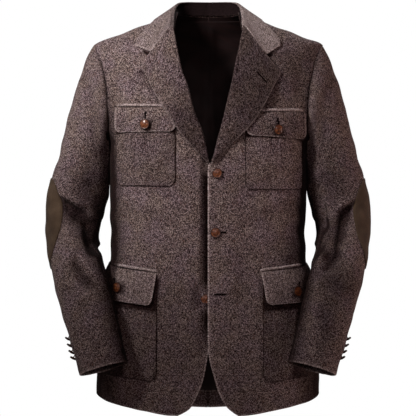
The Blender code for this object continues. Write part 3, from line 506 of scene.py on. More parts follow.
def add_object(name, data):
    """A new object with its data, put in the scene."""
    made = bpy.data.objects.new(name, data)
    bpy.context.scene.collection.objects.link(made)
    return made


def outward(points, quads, fans=()):
    """Quads and end fans turned so that they face outwards."""
    if signed_volume(points, quads) < 0:
        return quads[:, ::-1], [fan[::-1] for fan in fans]
    return quads, fans


def tube(sections, around):
    """Indices of the points of a tube, and its quads."""
    index = np.arange(sections * around).reshape(sections, around)
    after = np.roll(index, -1, axis=1)
    return index, np.stack((index[:-1], after[:-1], after[1:], index[1:]), -1).reshape(-1, 4)


def make_piece(name, points, quads, looks, uv=None, masks=None, fans=(), look_of=None):
    """One mesh object: points, quads and end fans, with its weave and its masks."""
    mesh = bpy.data.meshes.new(name)
    faces = quads.tolist() + [list(fan) for fan in fans]
    mesh.from_pydata(points.tolist(), [], faces)
    if uv is not None:
        corner = np.empty(len(mesh.loops), np.int32)
        mesh.loops.foreach_get("vertex_index", corner)
        layer = mesh.uv_layers.new(name="weave")
        layer.data.foreach_set("uv", uv[corner].astype(np.float32).ravel())
    for mask_name, values in (masks or {}).items():
        mask = mesh.attributes.new(mask_name, "FLOAT", "POINT")
        mask.data.foreach_set("value", values.astype(np.float32).ravel())
    for look in looks:
        mesh.materials.append(LOOKS[look])
    if look_of is not None:
        index = np.zeros(len(faces), np.int32)
        index[:len(look_of)] = look_of
        mesh.polygons.foreach_set("material_index", index)
    mesh.shade_smooth()
    mesh.update()
    piece = add_object(name, mesh)
    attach(piece, "root")
    return piece


RIM_STEPS = 4            # rings round the edge of a sheet
EDGE_ROUNDNESS = 0.8     # how far that edge bulges, 1 for a half circle


def cloth(name, grid, wall, looks, facing, uv=None, edge_width=0.0022, closed=False,
          outer_look=None, inner_look=None, sides="",
          masks=None, edge_least=0.0, edge_most=1.0):
    """A sheet with a wall behind its points and a half-round edge all round.

    The edge is a run of rings from the outer face to the inner one: the middle
    of the wall, plus half the wall times (cosine along the normal, sine outwards
    in the sheet). The edge mask dies away from the sides named in "sides".
    """
    rows, columns = grid.shape[:2]
    if closed:
        wrapped = np.concatenate((grid[:, -1:], grid, grid[:, :1]), axis=1)
        normals = grid_normals(wrapped)[:, 1:-1] * facing
    else:
        normals = grid_normals(grid) * facing
    inner = grid - normals * wall
    index = np.arange(rows * columns).reshape(rows, columns)
    right = np.roll(index, -1, axis=1) if closed else index[:, 1:]
    left = index if closed else index[:, :-1]
    sheet = np.stack((left[:-1], left[1:], right[1:], right[:-1]), axis=-1).reshape(-1, 4)
    away_down = grid - np.concatenate((grid[1:2], grid[:-1]), axis=0)
    away_down[0] = grid[0] - grid[1]
    away_across = grid - np.concatenate((grid[:, 1:2], grid[:, :-1]), axis=1)
    away_across[:, 0] = grid[:, 0] - grid[:, 1]
    if closed:
        loops = [(index[0], away_down[0]), (index[-1][::-1], away_down[-1][::-1])]
    else:
        loop = np.concatenate((index[0, :-1], index[:-1, -1], index[-1, :0:-1], index[:0:-1, 0]))
        away = np.concatenate((away_down[0, :-1], away_across[:-1, -1],
                               away_down[-1, :0:-1], away_across[:0:-1, 0]))
        corners = np.cumsum([0, columns - 1, rows - 1, columns - 1])
        before = away[corners - 1]
        away[corners] = unit(away[corners]) + unit(before)
        loops = [(loop, away)]
    flat = [a.reshape(-1, 3) for a in (grid, inner, normals)]
    points = [flat[0], flat[1]]
    owners = [index.ravel(), index.ravel()]
    rim, count = [], 2 * rows * columns
    for loop, away in loops:
        n = flat[2][loop]
        outwards = unit(away - (away * n).sum(-1, keepdims=True) * n)
        middle = (flat[0][loop] + flat[1][loop]) / 2
        rings = [loop]
        for step in range(1, RIM_STEPS):
            turn = np.pi * step / RIM_STEPS
            points.append(middle + wall / 2 * (np.cos(turn) * n
                                               + EDGE_ROUNDNESS * np.sin(turn) * outwards))
            owners.append(loop)
            rings.append(count + np.arange(len(loop)))
            count += len(loop)
        rings.append(loop + rows * columns)
        rim += [np.stack((one, np.roll(one, -1), np.roll(two, -1), two), -1)
                for one, two in zip(rings, rings[1:])]
    points, owners = np.concatenate(points), np.concatenate(owners)
    back = sheet[:, ::-1] + rows * columns
    quads = outward(points, np.concatenate((sheet, back, *rim)))[0]
    down, across = run_lengths(grid, 0), run_lengths(grid, 1)
    if uv is None:
        uv = np.stack((across, -down), axis=-1)
    near = {"t": down, "b": down[-1:] - down, "l": across, "r": across[:, -1:] - across}
    distance = np.min([near[s] for s in sides] + [np.full(down.shape, 1.0)], axis=0)
    # The edge mask paints the weave paler: wear of the nap with a painted highlight along the edges;
    # edge_least raises it over the whole piece, which is painted light.
    edge = np.maximum(edge_most * bell(distance, edge_width), edge_least)
    look_of = np.zeros(len(quads), np.int32)
    if outer_look is not None:
        look_of[:len(sheet)] = outer_look.ravel()
    if inner_look is not None:
        look_of[len(sheet):2 * len(sheet)] = inner_look.ravel()
    shades = {key: values.ravel()[owners] for key, values in (masks or {}).items()}
    piece = make_piece(name, points, quads, looks, uv.reshape(-1, 2)[owners],
                       {"edge": edge.ravel()[owners], **shades}, look_of=look_of)
    return piece


TURNED_AROUND = 28       # points round a button


def turned(name, foot, normal, profile, look):
    """A turned piece: a profile of (radius, height) carried round its own axis."""
    turn = steps(0, 2 * np.pi, TURNED_AROUND)
    normal = unit(np.asarray(normal, float))
    side_way = unit(np.cross(normal, (0, 0, 1.0)))
    up_way = np.cross(side_way, normal)
    ring = np.cos(turn)[:, None] * side_way + np.sin(turn)[:, None] * up_way
    wave = 1 + DENTS * np.sin(3 * turn + 1.0)[:, None] * profile[:, None, :1] / profile[:, 0].max()
    points = foot + profile[:, None, :1] * wave * ring + profile[:, None, 1:] * normal
    index, quads = tube(len(profile), TURNED_AROUND)
    flat = points.reshape(-1, 3)
    quads, fans = outward(flat, quads, [index[0][::-1], index[-1]])
    uv = np.stack((points @ side_way, points @ up_way), -1).reshape(-1, 2)
    rim = np.repeat(profile[:, 0] / profile[:, 0].max(), TURNED_AROUND)
    return make_piece(name, flat, quads, (look,), uv, {"edge": rim}, fans=fans)


STITCH_SIDES = 5
STITCH_SECTIONS = (      # shares: place along its length, and radius and height by its radius
    (-0.5, 0.15, -1.6), (-0.28, 1.0, 0.2), (0.28, 1.0, 0.2), (0.5, 0.15, -1.6))


def between(at, walked, values):
    """Points or normals of a line read at distances along it."""
    return np.stack([np.interp(at, walked, values[:, k]) for k in range(3)], -1)


def stitch_run(side, line, above):
    """A line to stitch along and its normals, from two lines, the second above the first."""
    return mirrored(side, line), mirrored(side, unit(above - line))


def stitches(name, runs, look, length=0.0026, radius=0.00035, rise=0.00022,
             pitch=STITCH_PITCH, crosswise=False):
    """Rows of small stitches. Each run is (points, normals) along a line.

    A stitch is a thread of five sides over four sections that dips at both
    ends; one is made and then placed at every pitch along the line, or across
    it, as on a worked buttonhole.
    """
    sections = np.array(STITCH_SECTIONS)
    turn = steps(0, 2 * np.pi, STITCH_SIDES)
    template = np.stack((
        np.repeat(sections[:, 0] * length, STITCH_SIDES),
        (sections[:, 1:2] * radius * np.cos(turn)).ravel(),
        (sections[:, 1:2] * radius * np.sin(turn) + sections[:, 2:] * radius + rise).ravel()), -1)
    index, quads = tube(len(sections), STITCH_SIDES)
    ends = np.array([index[0][::-1], index[-1]])
    placed, count = [], 0
    for points, normals in runs:
        walked = run_lengths(points[None], 1)[0]
        at = np.arange(pitch / 2, walked[-1], pitch)
        spot = between(at, walked, points)
        n = unit(between(at, walked, normals))
        along = unit(between(at + 1e-3, walked, points) - between(at - 1e-3, walked, points))
        across = unit(np.cross(n, along))
        if crosswise:
            along, across = across, -along
        placed.append(spot[:, None] + template[:, :1] * along[:, None]
                      + template[:, 1:2] * across[:, None] + template[:, 2:] * n[:, None])
        count += len(at)
    points = np.concatenate(placed).reshape(-1, 3)
    step = (np.arange(count) * len(template))[:, None, None]
    every = (quads[None] + step).reshape(-1, 4)
    fans = (ends[None] + step).reshape(-1, STITCH_SIDES)
    if signed_volume(placed[0][0], quads) < 0:
        every, fans = every[:, ::-1], fans[:, ::-1]
    return make_piece(name, points, every, (look,), fans=fans.tolist())


# ---- panels

def seam_angle(row):
    """Side seam: straight down from the underarm, then a little to the back."""
    return np.radians(90 + (SIDE_SEAM - 90) * ramp(-row, 0.28, 0.40))


def armhole_x(row):
    """x of the armhole seam at a height."""
    return column(ARMHOLE, ARMHOLE_COLUMNS, "x", row)


PANEL_GAP = 0.0009       # from a seam's line to the edge of each panel's points
ARMHOLE_GAP = 0.5        # share of that gap kept at the armhole
TIP_GAP, TIP_REACH = 1.3, 0.008      # how much wider it is at the shoulder's tip


def panel_end(row, angle_at, way):
    """Angle where a panel ends: shoulder seam, armhole or side seam."""
    gap = PANEL_GAP * (1 + TIP_GAP * bell(row - SHOULDER_TIP, TIP_REACH)) / body("half_width", row)
    in_armhole = (row < SHOULDER_TIP) & (row > ARMHOLE_FOOT)
    plain = np.where(row < ARMHOLE_FOOT + 1e-6, seam_angle(row), np.pi / 2)
    return np.where(in_armhole, angle_at(armhole_x(row), row) + ARMHOLE_GAP * way * gap,
                    plain + way * gap)


def edge_x(side, row):
    """Front edge in the front view, set back behind the roll of the lapel."""
    setback = ROLL_SETBACK * ramp(row, BREAK - 0.004, BREAK + 0.02)
    return column(EDGES[side], EDGE_COLUMNS, "x", row) + setback


def panel_rows(armhole, side, hem):
    """Heights of a panel's rows: shoulder, armhole, side and skirt."""
    return np.concatenate((
        NECK_POINT + (SHOULDER_TIP - NECK_POINT) * steps(0, 1, 40),
        steps(SHOULDER_TIP, ARMHOLE_FOOT, armhole),
        steps(ARMHOLE_FOOT, SKIRT, side), np.linspace(SKIRT, HEM, hem)))


FRONT_ROWS = panel_rows(armhole=76, side=128, hem=46)
BACK_ROWS = np.concatenate((
    NAPE + (NECK_POINT - NAPE) * steps(0, 1, 8),
    panel_rows(armhole=64, side=84, hem=30)))
FRONT_COLUMNS, BACK_COLUMNS, LINING_COLUMNS = 96, 66, 36
FACING_WIDTH = 0.075     # the front's own cloth turned to the inside


def front_grid(side, rows, share, out=0.0):
    """Points of a front from its edge to its side, with their angles and heights."""
    start = front_angle(edge_x(side, rows), rows)
    end = panel_end(rows, front_angle, -1)
    angle = start[:, None] + (end - start)[:, None] * share
    z = bend_to_hem(angle, rows[:, None])
    return skin(angle, z, front_relief(side, angle, z) + out), angle, z


# Painted shades: 0 is none and 1 is the deepest. Angles are in degrees.
SIDE_ENDS = (83, 94)             # where the shades of the side die away to the back
SIDE_TURNS = (36, 58)            # where a front turns to the side
SIDE_TOP = (-0.16, -0.09)        # heights over which the side's shade ends
SEAM_DEPTH, SEAM_WIDTH = 0.85, 0.0030
SEAM_STARTS = (0.070, 0.105)     # depths below the neck, so the shoulder's tip has none
NOTCH_WIDTH, NOTCH_HEIGHT, NOTCH_RISE = 0.0085, 0.0044, 0.35
UNDER_ARM = {"left": (0.66, 66), "right": (0.92, 58)}        # depth, and where it starts
UNDER_ARM_TURN = 16
UNDER_CUFF, UNDER_CUFF_FROM = 0.85, (52, 72)
LEFT_SHOULDER = 0.36
BEHIND_EDGE_EASE = 0.7           # how much lighter it is at the low button
RIGHT_SKIRT = 0.24


def front_panel(side):
    """A front cut in one with its side, its facing turned to the inside."""
    share = np.linspace(0, 1, FRONT_COLUMNS) ** 1.12       # closer columns at the front edge
    grid, angle, z = front_grid(side, FRONT_ROWS, share)
    walked = run_lengths(grid, 1)
    across = walked + grid[:, :1, 0]
    inside = (walked > FACING_WIDTH)[:-1, :-1].astype(np.int32)
    # Painted shade: the side as it turns from view, and the shade and shadow masks under the arm,
    # round the flaps and pocket, beside the lapel, along the armhole seam and behind the left front's
    # edge.
    masks = {"side": (1 - ramp(z, *SIDE_TOP)) * at_side(angle, *SIDE_TURNS),
             "painted_shade": np.maximum.reduce([
                 front_painted_shade(side, grid[..., 0], z), under_arm(side, angle, z),
                 flap_shadow(side, grid[..., 0], z), lapel_shadow(side, grid[..., 0], z),
                 seam_shade(walked[:, -1:] - walked, z) * (z > ARMHOLE_FOOT)])}
    piece = cloth("front_panel_" + side, mirrored(side, grid), WALL, ("tweed", "lining"),
                  mirror_sign(side), np.stack((across, z), -1), inner_look=inside, sides="lb",
                  masks=masks)
    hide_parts("front_" + side)


def at_side(angle, start, end):
    """1 on the body's side towards the front, nothing on its front and its back half."""
    degrees = np.degrees(np.abs(angle))
    return ramp(degrees, start, end) * (1 - ramp(degrees, *SIDE_ENDS))


def seam_shade(distance, z):
    """Shade of the groove along the armhole seam, none at the shoulder's tip."""
    return SEAM_DEPTH * bell(distance, SEAM_WIDTH) * ramp(-z, *SEAM_STARTS)


def flap_shadow(side, x, z):
    """Shade on a front round its flaps and its lower pocket: beside the lower
    flap's forward edge, along the pocket's foot, and behind the chest flap."""
    flap, chest, pocket = LOWER_FLAPS[side], CHEST_FLAPS[side], LOWER_POCKETS[side]

    depth, off, width = {"left": 0.45, "right": 0.94}[side], 0.0048, 0.0050
    top, foot = flap["top_front"], flap["bottom_front"]
    edge = flap["front_x"] + flap["slant"] * np.clip((top - z) / (top - foot), 0, 1) - off
    down = (1 - ramp(z, top - 0.014, top - 0.002)) * ramp(z, foot - 0.010, foot + 0.002)
    beside = depth * bell(x - edge, width, 4) * down

    depth, off, width, reach = 0.90, 0.0016, 0.0028, 0.08
    slope = (pocket["bottom_rear"] - pocket["bottom_front"]) / reach
    foot = pocket["bottom_front"] + slope * (x - pocket["front_x"]) - off
    past_corner = ramp(x - pocket["front_x"], 0.3 * pocket["corner"], pocket["corner"])
    along_foot = depth * bell(z - foot, width) * past_corner

    depth, off, width = 0.55, 0.0012, 0.0022
    top, foot = chest["top_rear"], chest["bottom_rear"]
    down = (1 - ramp(z, top - 0.006, top)) * ramp(z, foot - 0.002, foot + 0.006)
    behind = depth * bell(x - chest["rear"] - off, width) * down
    return np.maximum.reduce([beside, along_foot, behind])


def lapel_shadow(side, x, z):
    """Shade on a front just outside its lapel's edge, and inside the notch."""
    _, _, edges, heights = np.array(LAPELS[side]).T
    edge = smooth(z, heights, edges)
    foot, tip = heights[0], heights[-1]
    beside = ramp(z, foot + 0.03, foot + 0.08) * (1 - ramp(z, tip - 0.018, tip - 0.003))
    depth, width = {"left": (0.70, 0.009), "right": (0.45, 0.008)}[side]
    strip = depth * bell(x - edge - 0.001, width) * beside
    notch_x, notch_z = NOTCH[side]
    past = x - notch_x - 0.008
    rise = z - notch_z + 0.0010 - NOTCH_RISE * past
    spot = bell(past, NOTCH_WIDTH, 4) * bell(rise, NOTCH_HEIGHT, 4)
    return np.maximum(strip, spot)


def under_arm(side, angle, z):
    """Shade of the body's side where the sleeve hangs against it."""
    depth, start = UNDER_ARM[side]
    height = ramp(z, -0.72, -0.60) * (1 - ramp(z, -0.20, -0.12))
    beside = depth * at_side(angle, start, start + UNDER_ARM_TURN) * height
    under_cuff = UNDER_CUFF * at_side(angle, *UNDER_CUFF_FROM) * (1 - ramp(z, -0.72, -0.69))
    return np.maximum(beside, under_cuff)


def front_painted_shade(side, x, z):
    """Shade of the strip of the right front that drops behind the left one, and
    of the left shoulder, which the light reaches last."""
    if side == "left":
        return LEFT_SHOULDER * ramp(z, -0.24, -0.12) * (1 - ramp(z, -0.085, -0.055))
    flat = bell(z - FLAT_HEIGHT, FLAT_REACH, 4)
    strip = 1 - ramp(x, 0.004, 0.015 - 0.004 * ramp(-z, 0.36, 0.60))
    down = (1 - ramp(z, -0.325, -0.310)) * ramp(z, -0.700, -0.600)
    skirt = RIGHT_SKIRT * ramp(-z, 0.47, 0.60) * (1 - ramp(-z, 0.68, 0.74))
    return np.maximum(strip * down * (1 - BEHIND_EDGE_EASE * flat), skirt)


def back_grid(out, rows, columns):
    """Half of the back from the centre to the side, in the left half."""
    share = np.linspace(0, 1, columns)
    middle = np.pi - PANEL_GAP / body("back", rows)
    angle = middle[:, None] + (panel_end(rows, back_angle, 1) - middle)[:, None] * share
    z = bend_to_hem(angle, rows[:, None])
    x = skin_at(angle, z)[..., 0]
    relief = creases(BACK_CREASES, x, z) + uneven(x, z, 7.0)
    return skin(angle, z, relief * ramp(-z, 0.0, 0.04) + out)


NECK_SHADE, NECK_WIDTH = 0.95, 0.006         # under the collar, and how far down
CENTRE_SHADE, CENTRE_WIDTH = 0.75, 0.0018    # the groove of the centre seam
BACK_NECK_ROWS = 12                          # rows at the neck lined on the inside


def back_panel(side):
    """Half of the back, with a groove of shade at the collar and down the centre seam."""
    grid = back_grid(0.0, BACK_ROWS, BACK_COLUMNS)
    across = run_lengths(grid, 1)
    inside = np.zeros(np.array(grid.shape[:2]) - 1, np.int32)
    inside[:BACK_NECK_ROWS] = 1
    grooves = np.maximum(NECK_SHADE * bell(run_lengths(grid, 0), NECK_WIDTH),
                         CENTRE_SHADE * bell(across, CENTRE_WIDTH))
    piece = cloth("back_panel_" + side, mirrored(side, grid), WALL, ("tweed", "lining"),
                  -mirror_sign(side), np.stack((across, grid[..., 2]), -1), sides="b",
                  inner_look=inside, masks={"painted_shade": grooves})
    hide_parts("back_" + side)


LINING_OFF = WALL + 0.0010       # a lining lies this far inside the cloth's face
PLEAT = ((0.008, 0.0030, 0.0070), (-0.008, 0.0018, 0.0060))      # x, depth, width


def back_lining():
    """One skin inside both backs, with the two folds of its ease pleat down the centre."""
    rows = BACK_ROWS[6:-6:2]
    half = back_grid(-LINING_OFF, rows, LINING_COLUMNS)
    half[:, 0, 0] = 0
    grid = np.concatenate((half[:, :0:-1], half * (-1, 1, 1)), axis=1)
    fold = sum(depth * bell(grid[..., 0] - x, width) for x, depth, width in PLEAT)
    grid[..., 1] -= fold * ramp(-grid[..., 2], 0.004, 0.03)
    piece = cloth("lining_of_back", grid, LINING_WALL, ("lining",), 1.0)
    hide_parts("lining_back")


# ---- pieces on a front

def on_front(side, x, z, out):
    """Point on a front's surface by its place in the front view."""
    angle = front_angle(x, z)
    return skin(angle, z, front_relief(side, angle, z) + out)


def patch_edges(row, across):
    """Heights of a patch's top and bottom at a share across it."""
    top = row["top_front"] + (row["top_rear"] - row["top_front"]) * across
    low = row["bottom_front"] + (row["bottom_rear"] - row["bottom_front"]) * across
    return top, low


def patch_place(row, rear_is_angle, across, down):
    """Angle and height at shares across and down a patch's own rectangle."""
    top, low = patch_edges(row, across)
    z = top + (low - top) * down
    start = front_angle(row["front_x"] + row["slant"] * np.clip(down, 0, 1), z)
    end = np.radians(row["rear"]) if rear_is_angle else front_angle(row["rear"], z)
    return start + (end - start) * across, z


def patch_size(row, rear_is_angle):
    """Width and height of a patch's rectangle, in metres."""
    angle, z = patch_place(row, rear_is_angle, np.array([0.0, 1.0]), np.array([0.5, 0.5]))
    ends = skin_at(np.linspace(angle[0], angle[1], 30), np.linspace(z[0], z[1], 30))
    width = np.linalg.norm(np.diff(ends, axis=0), axis=1).sum()
    return width, row["top_front"] - row["bottom_front"]


PLEAT_LINES, PLEAT_WIDTH = (0.42, 0.52), 0.014       # shares across a chest pocket
CHEST_PLEAT = 0.0010                                 # how deep its two lines are
REAR_SINKS = 0.35        # how much nearer a lower patch lies at its rear


def patch_surface(side, row, rear_is_angle, across, down, base, proud=0.0, pleat=0.0, dip=0.0):
    """A patch's face: the front's surface moved out and swollen like a pillow.

    The swell is a product of two rounded half sines, so it is nothing at the
    edges; "proud" lifts the lower front corner, "pleat" sinks two lines and
    "dip" sinks the top, where a flap goes in under its welt.
    """
    angle, z = patch_place(row, rear_is_angle, across, down)
    dome = (np.sin(np.pi * np.clip(across, 0, 1)) ** 0.6
            * np.sin(np.pi * np.clip(down, 0, 0.985)) ** 0.6)
    lifted = proud * (down ** 2) * (1 - ramp(across, 0.35, 0.85))
    lines = sum(bell(across - at, PLEAT_WIDTH) for at in PLEAT_LINES)
    if rear_is_angle:
        base = base * (1 - REAR_SINKS * ramp(across, 0.65, 0.92))
    out = (base + row["swell"] * dome + lifted - pleat * lines * ramp(down, 0.02, 0.10)
           - dip * (1 - ramp(down, -0.05, 0.28)))
    return skin(angle, z, front_relief(side, angle, z) + out)


def patch_inset(row, size, down):
    """How far the rounded lower corners draw the sides in, as a share of the width."""
    corner = row["corner"]
    left = np.clip((corner - (1 - down) * size[1]) / corner, 0, 1)
    return corner * (1 - np.sqrt(1 - left ** 2)) / size[0]


ABOVE = 0.01             # how far off a surface a second point gives its normal
PATCH_STEP_ACROSS, PATCH_STEP_DOWN = 0.0026, 0.0030      # between a patch's points
LOWER_FLAP_PAINTED_LIGHT = 0.18    # painted light: how much paler a lower flap is painted all over, where the light falls on it


def patch(name, side, row, base, shift, replaces, rests_on, rear_is_angle=False, proud=0.0,
          pleat=0.0, dip=0.0, with_pieces=(), edges=""):
    """A pocket or flap with rounded lower corners, and the line it is sewn along."""
    size = patch_size(row, rear_is_angle)
    columns, rows = int(size[0] / PATCH_STEP_ACROSS), int(size[1] / PATCH_STEP_DOWN)
    across = np.linspace(0, 1, columns)
    corner_share = row["corner"] / size[1]
    down = np.concatenate((steps(0, 1 - corner_share, rows),
                           1 - corner_share * (1 - np.sin(np.linspace(0, np.pi / 2, 14)))))
    inset = patch_inset(row, size, down)[:, None]
    share = inset + (1 - 2 * inset) * across
    deep = np.broadcast_to(down[:, None], share.shape)
    angle, height = patch_place(row, rear_is_angle, share, deep)
    face = base + POCKET_WALL
    grid = patch_surface(side, row, rear_is_angle, share, deep, face, proud, pleat, dip)
    uv = np.stack((share * size[0] + row["front_x"] + shift,
                   -deep * size[1] + row["top_front"] + shift / 2), -1)
    # Painted shade on the patch's side and from its shade mask; a lower flap is also painted paler all
    # over, as painted light.
    piece = cloth(name, mirrored(side, grid), POCKET_WALL, ("tweed",), mirror_sign(side),
                  uv, edge_width=0.0024, sides=edges,
                  edge_least=LOWER_FLAP_PAINTED_LIGHT * (rear_is_angle and bool(edges)),
                  masks={"side": 0.8 * rear_is_angle * at_side(angle, *SIDE_TURNS),
                         "painted_shade": patch_painted_shade(side, across * (1 - 2 * inset), share, deep, size,
                                                angle, height, rear_is_angle, edges)})
    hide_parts(replaces)
    outline = stitch_outline(size, row["corner"], EDGE_STITCH)
    across, down = outline[:, 0] / size[0], outline[:, 1] / size[1]
    line, above = (patch_surface(side, row, rear_is_angle, across, down, out, proud, pleat, dip)
                   for out in (face, face + ABOVE))
    return stitch_run(side, line, above)


# Where the lower pockets turn into the shade beside the sleeve: x of that line
# at the flap's top and foot, and at the foot of the pocket.
SHADE_LINE = {"left": (0.1790, 0.1670, 0.1600), "right": (0.1720, 0.1690, 0.1600)}
POCKET_FOOT = -0.700
ARM_SHADE = 0.90
BUTTON_SHADE, BUTTON_REACH = 0.92, 0.0112
BUTTON_SHADE_ASIDE, BUTTON_SHADE_BELOW = 0.0022, 0.0024
CHEST_FLAP_SHADE = {"left": 0.18, "right": 0.0}
CHEST_SHADE = {"left": 0.0, "right": 0.24}       # of a whole chest pocket
LOWER_SHADE = 0.30                               # and of a lower one
# Painted shade along a pocket's sewn edge, and painted shadow under its flap.
LINE_SHADE, UNDER_FLAP = 0.92, 0.96


def beside_arm(side, angle, z):
    """Shade of what lies under the arm, outwards of a line that leans inwards."""
    top, foot, low = SHADE_LINE[side]
    flap = LOWER_FLAPS[side]
    line = smooth(z, (POCKET_FOOT, flap["bottom_front"], flap["top_front"]), (low, foot, top))
    x = skin_at(angle, z)[..., 0]
    return ARM_SHADE * ramp(x, line - 0.003, line + 0.005) * at_side(angle, 10, 20)


def button_shade(side, x, z):
    """Shade on a flap round its button, a little below it and to one side."""
    spots = []
    for _, button_side, button_x, button_z, _, _ in FRONT_BUTTONS:
        if button_side == side:
            aside = x - button_x - mirror_sign(side) * BUTTON_SHADE_ASIDE
            below = z - button_z + BUTTON_SHADE_BELOW
            spots.append(bell(aside, BUTTON_REACH, 6) * bell(below, BUTTON_REACH, 6))
    return BUTTON_SHADE * np.max(spots, axis=0)


def patch_painted_shade(side, inside, share, down, size, angle, z, low_one, edges):
    """Shade of a patch: its part at the side; on a pocket a dark line along its
    sewn edge too, and the shadow that its flap's lower edge throws."""
    rear = beside_arm(side, angle, z) if low_one else np.zeros(z.shape)
    if edges:
        rear = np.maximum(rear, button_shade(side, skin_at(angle, z)[..., 0], z))
        return rear if low_one else np.maximum(rear, CHEST_FLAP_SHADE[side])
    width = inside[:, -1:]
    near = np.minimum(np.minimum(inside, width - inside) * size[0], (1 - down) * size[1])
    line = LINE_SHADE * bell(near, 0.0026 if low_one else 0.0014)
    flap_foot = patch_edges((LOWER_FLAPS if low_one else CHEST_FLAPS)[side], share)[1]
    below = flap_foot - z
    ends = 1 - ramp(share, 0.05, 0.20) + ramp(share, 0.80, 0.95)
    reach = 0.0200 if low_one else 0.0030 + 0.0040 * ends
    under_flap = UNDER_FLAP * (1 - ramp(below, 0.45 * reach, reach))
    least = LOWER_SHADE if low_one else CHEST_SHADE[side]
    return np.maximum.reduce([line, under_flap, rear, np.full(line.shape, least)])


def stitch_outline(size, corner, margin):
    """Down one side, round the two lower corners and up the other, set in by a margin."""
    width, height = size
    radius = max(corner - margin, 0.002)
    turn = np.linspace(0, np.pi / 2, 12)
    middle = np.array((margin + radius, height - margin - radius))
    first = middle + radius * np.stack((-np.cos(turn), np.sin(turn)), -1)
    second = np.stack((width - first[::-1, 0], first[::-1, 1]), -1)
    down = np.stack((np.full(20, margin), np.linspace(0.002, middle[1], 20)), -1)
    up = np.stack((width - down[::-1, 0], down[::-1, 1]), -1)
    return np.concatenate((down[:-1], first, second, up[1:]))


WELT_RISE, WELT_PROUD, WELT_WALL = 0.0012, 0.0046, 0.0010
WELT_OFF = 0.0005        # from the front to the welt's foot
WELT_START, WELT_TAPER = 0.03, 0.10      # shares of the width over which its ends die away
WELT_PAINTED_HIGHLIGHT = 0.80         # painted highlight: the bead is painted as pale as a lit edge


def welt(name, side, row, rear_is_angle, height, span):
    """Raised ridge above a flap: a bead of cloth along the top of the pocket.

    Its section is a flattened arch carried along the flap's top line. It dies
    away quickly at its front end and slowly at its rear one.
    """
    size = patch_size(row, rear_is_angle)
    across = np.linspace(*span, 76)
    section = np.linspace(0, np.pi, 11)
    end = np.clip(np.minimum((across - span[0]) / WELT_START, (span[1] - across) / WELT_TAPER), 0, 1)
    end = np.sqrt(np.maximum(end, 0.003))
    lift = WELT_PROUD * np.sin(section)[:, None] * end
    down = -(WELT_RISE + height / 2 - height / 2 * np.cos(section)[:, None] * end) / size[1]
    angle, z = patch_place(row, rear_is_angle, np.broadcast_to(across, lift.shape), down)
    grid = skin(angle, z, front_relief(side, angle, z) + WELT_OFF + lift)
    uv = np.stack((np.broadcast_to(across * size[0], lift.shape), z), -1)
    return cloth(name, mirrored(side, grid), WELT_WALL, ("tweed",), -mirror_sign(side),
                 uv, sides="t", edge_width=0.0030, edge_least=WELT_PAINTED_HIGHLIGHT,
                 masks={"painted_shade": beside_arm(side, angle, z) * rear_is_angle})


# How the flaps lie: off the front, lift of the lower front corner, sunk top.
CHEST_FLAP_LIE = {"base": 0.0046, "dip": 0.0018}
LOWER_FLAP_LIE = {"base": 0.0062, "proud": 0.0045, "dip": 0.0032}


def pockets(side):
    """The four patches of a front, their two welts and their stitching.

    "shift" moves each patch's weave, so that none runs on from the front's.
    """
    chest_pocket, lower_pocket = "chest_patch_pocket_" + side, "lower_patch_pocket_" + side
    chest_welt, lower_welt = "chest_welt_" + side, "lower_welt_" + side
    on_panel = {"rests_on": ["front_panel_" + side]}
    runs = [patch(chest_pocket, side, CHEST_POCKETS[side], REST, pleat=CHEST_PLEAT,
                  shift=0.0031, replaces="chest_pocket_" + side, **on_panel),
            patch(lower_pocket, side, LOWER_POCKETS[side], REST, rear_is_angle=True,
                  shift=0.0047, replaces="lower_pocket_" + side, **on_panel)]
    welt(chest_welt, side, CHEST_FLAPS[side], False, 0.0064, (-0.02, 0.99))
    welt(lower_welt, side, LOWER_FLAPS[side], True, 0.0065, (-0.01, 0.62))
    runs.append(patch("chest_pocket_flap_" + side, side, CHEST_FLAPS[side], **CHEST_FLAP_LIE,
                      shift=0.0022, replaces="chest_flap_" + side, edges="blr",
                      rests_on=[chest_pocket], with_pieces=[chest_welt]))
    runs.append(patch("lower_pocket_flap_" + side, side, LOWER_FLAPS[side], rear_is_angle=True,
                      **LOWER_FLAP_LIE, shift=0.0058, replaces="lower_flap_" + side, edges="blr",
                      rests_on=[lower_pocket], with_pieces=[lower_welt]))
    stitches("pocket_stitches_" + side, runs, "dark_thread", length=0.0022, radius=0.0003)


# ---- lapels and collar

def notch_row(side, share, end_point, gap):
    """Top row of a lapel, or front row of the collar: gorge, then the notch."""
    notch = np.array(NOTCH[side])
    seam = notch + gap * np.array((0.8, 0.6))
    start = np.array(GORGE_TOP) + gap * np.array((0.8, 0.6))
    along = np.clip(share / NOTCH_AT, 0, 1)[:, None]
    past = np.clip((share - NOTCH_AT) / (1 - NOTCH_AT), 0, 1)[:, None]
    return (start + (seam - start) * along) * (past == 0) \
        + (seam + (np.array(end_point) - seam) * past) * (past > 0)


LAPEL_BELLY = 0.0022     # the lapel's face swells this far between roll and edge


def lapel_end(side, name, row):
    """One named column of a lapel's table at a row."""
    return column(LAPELS[side], LAPEL_COLUMNS, name, row)


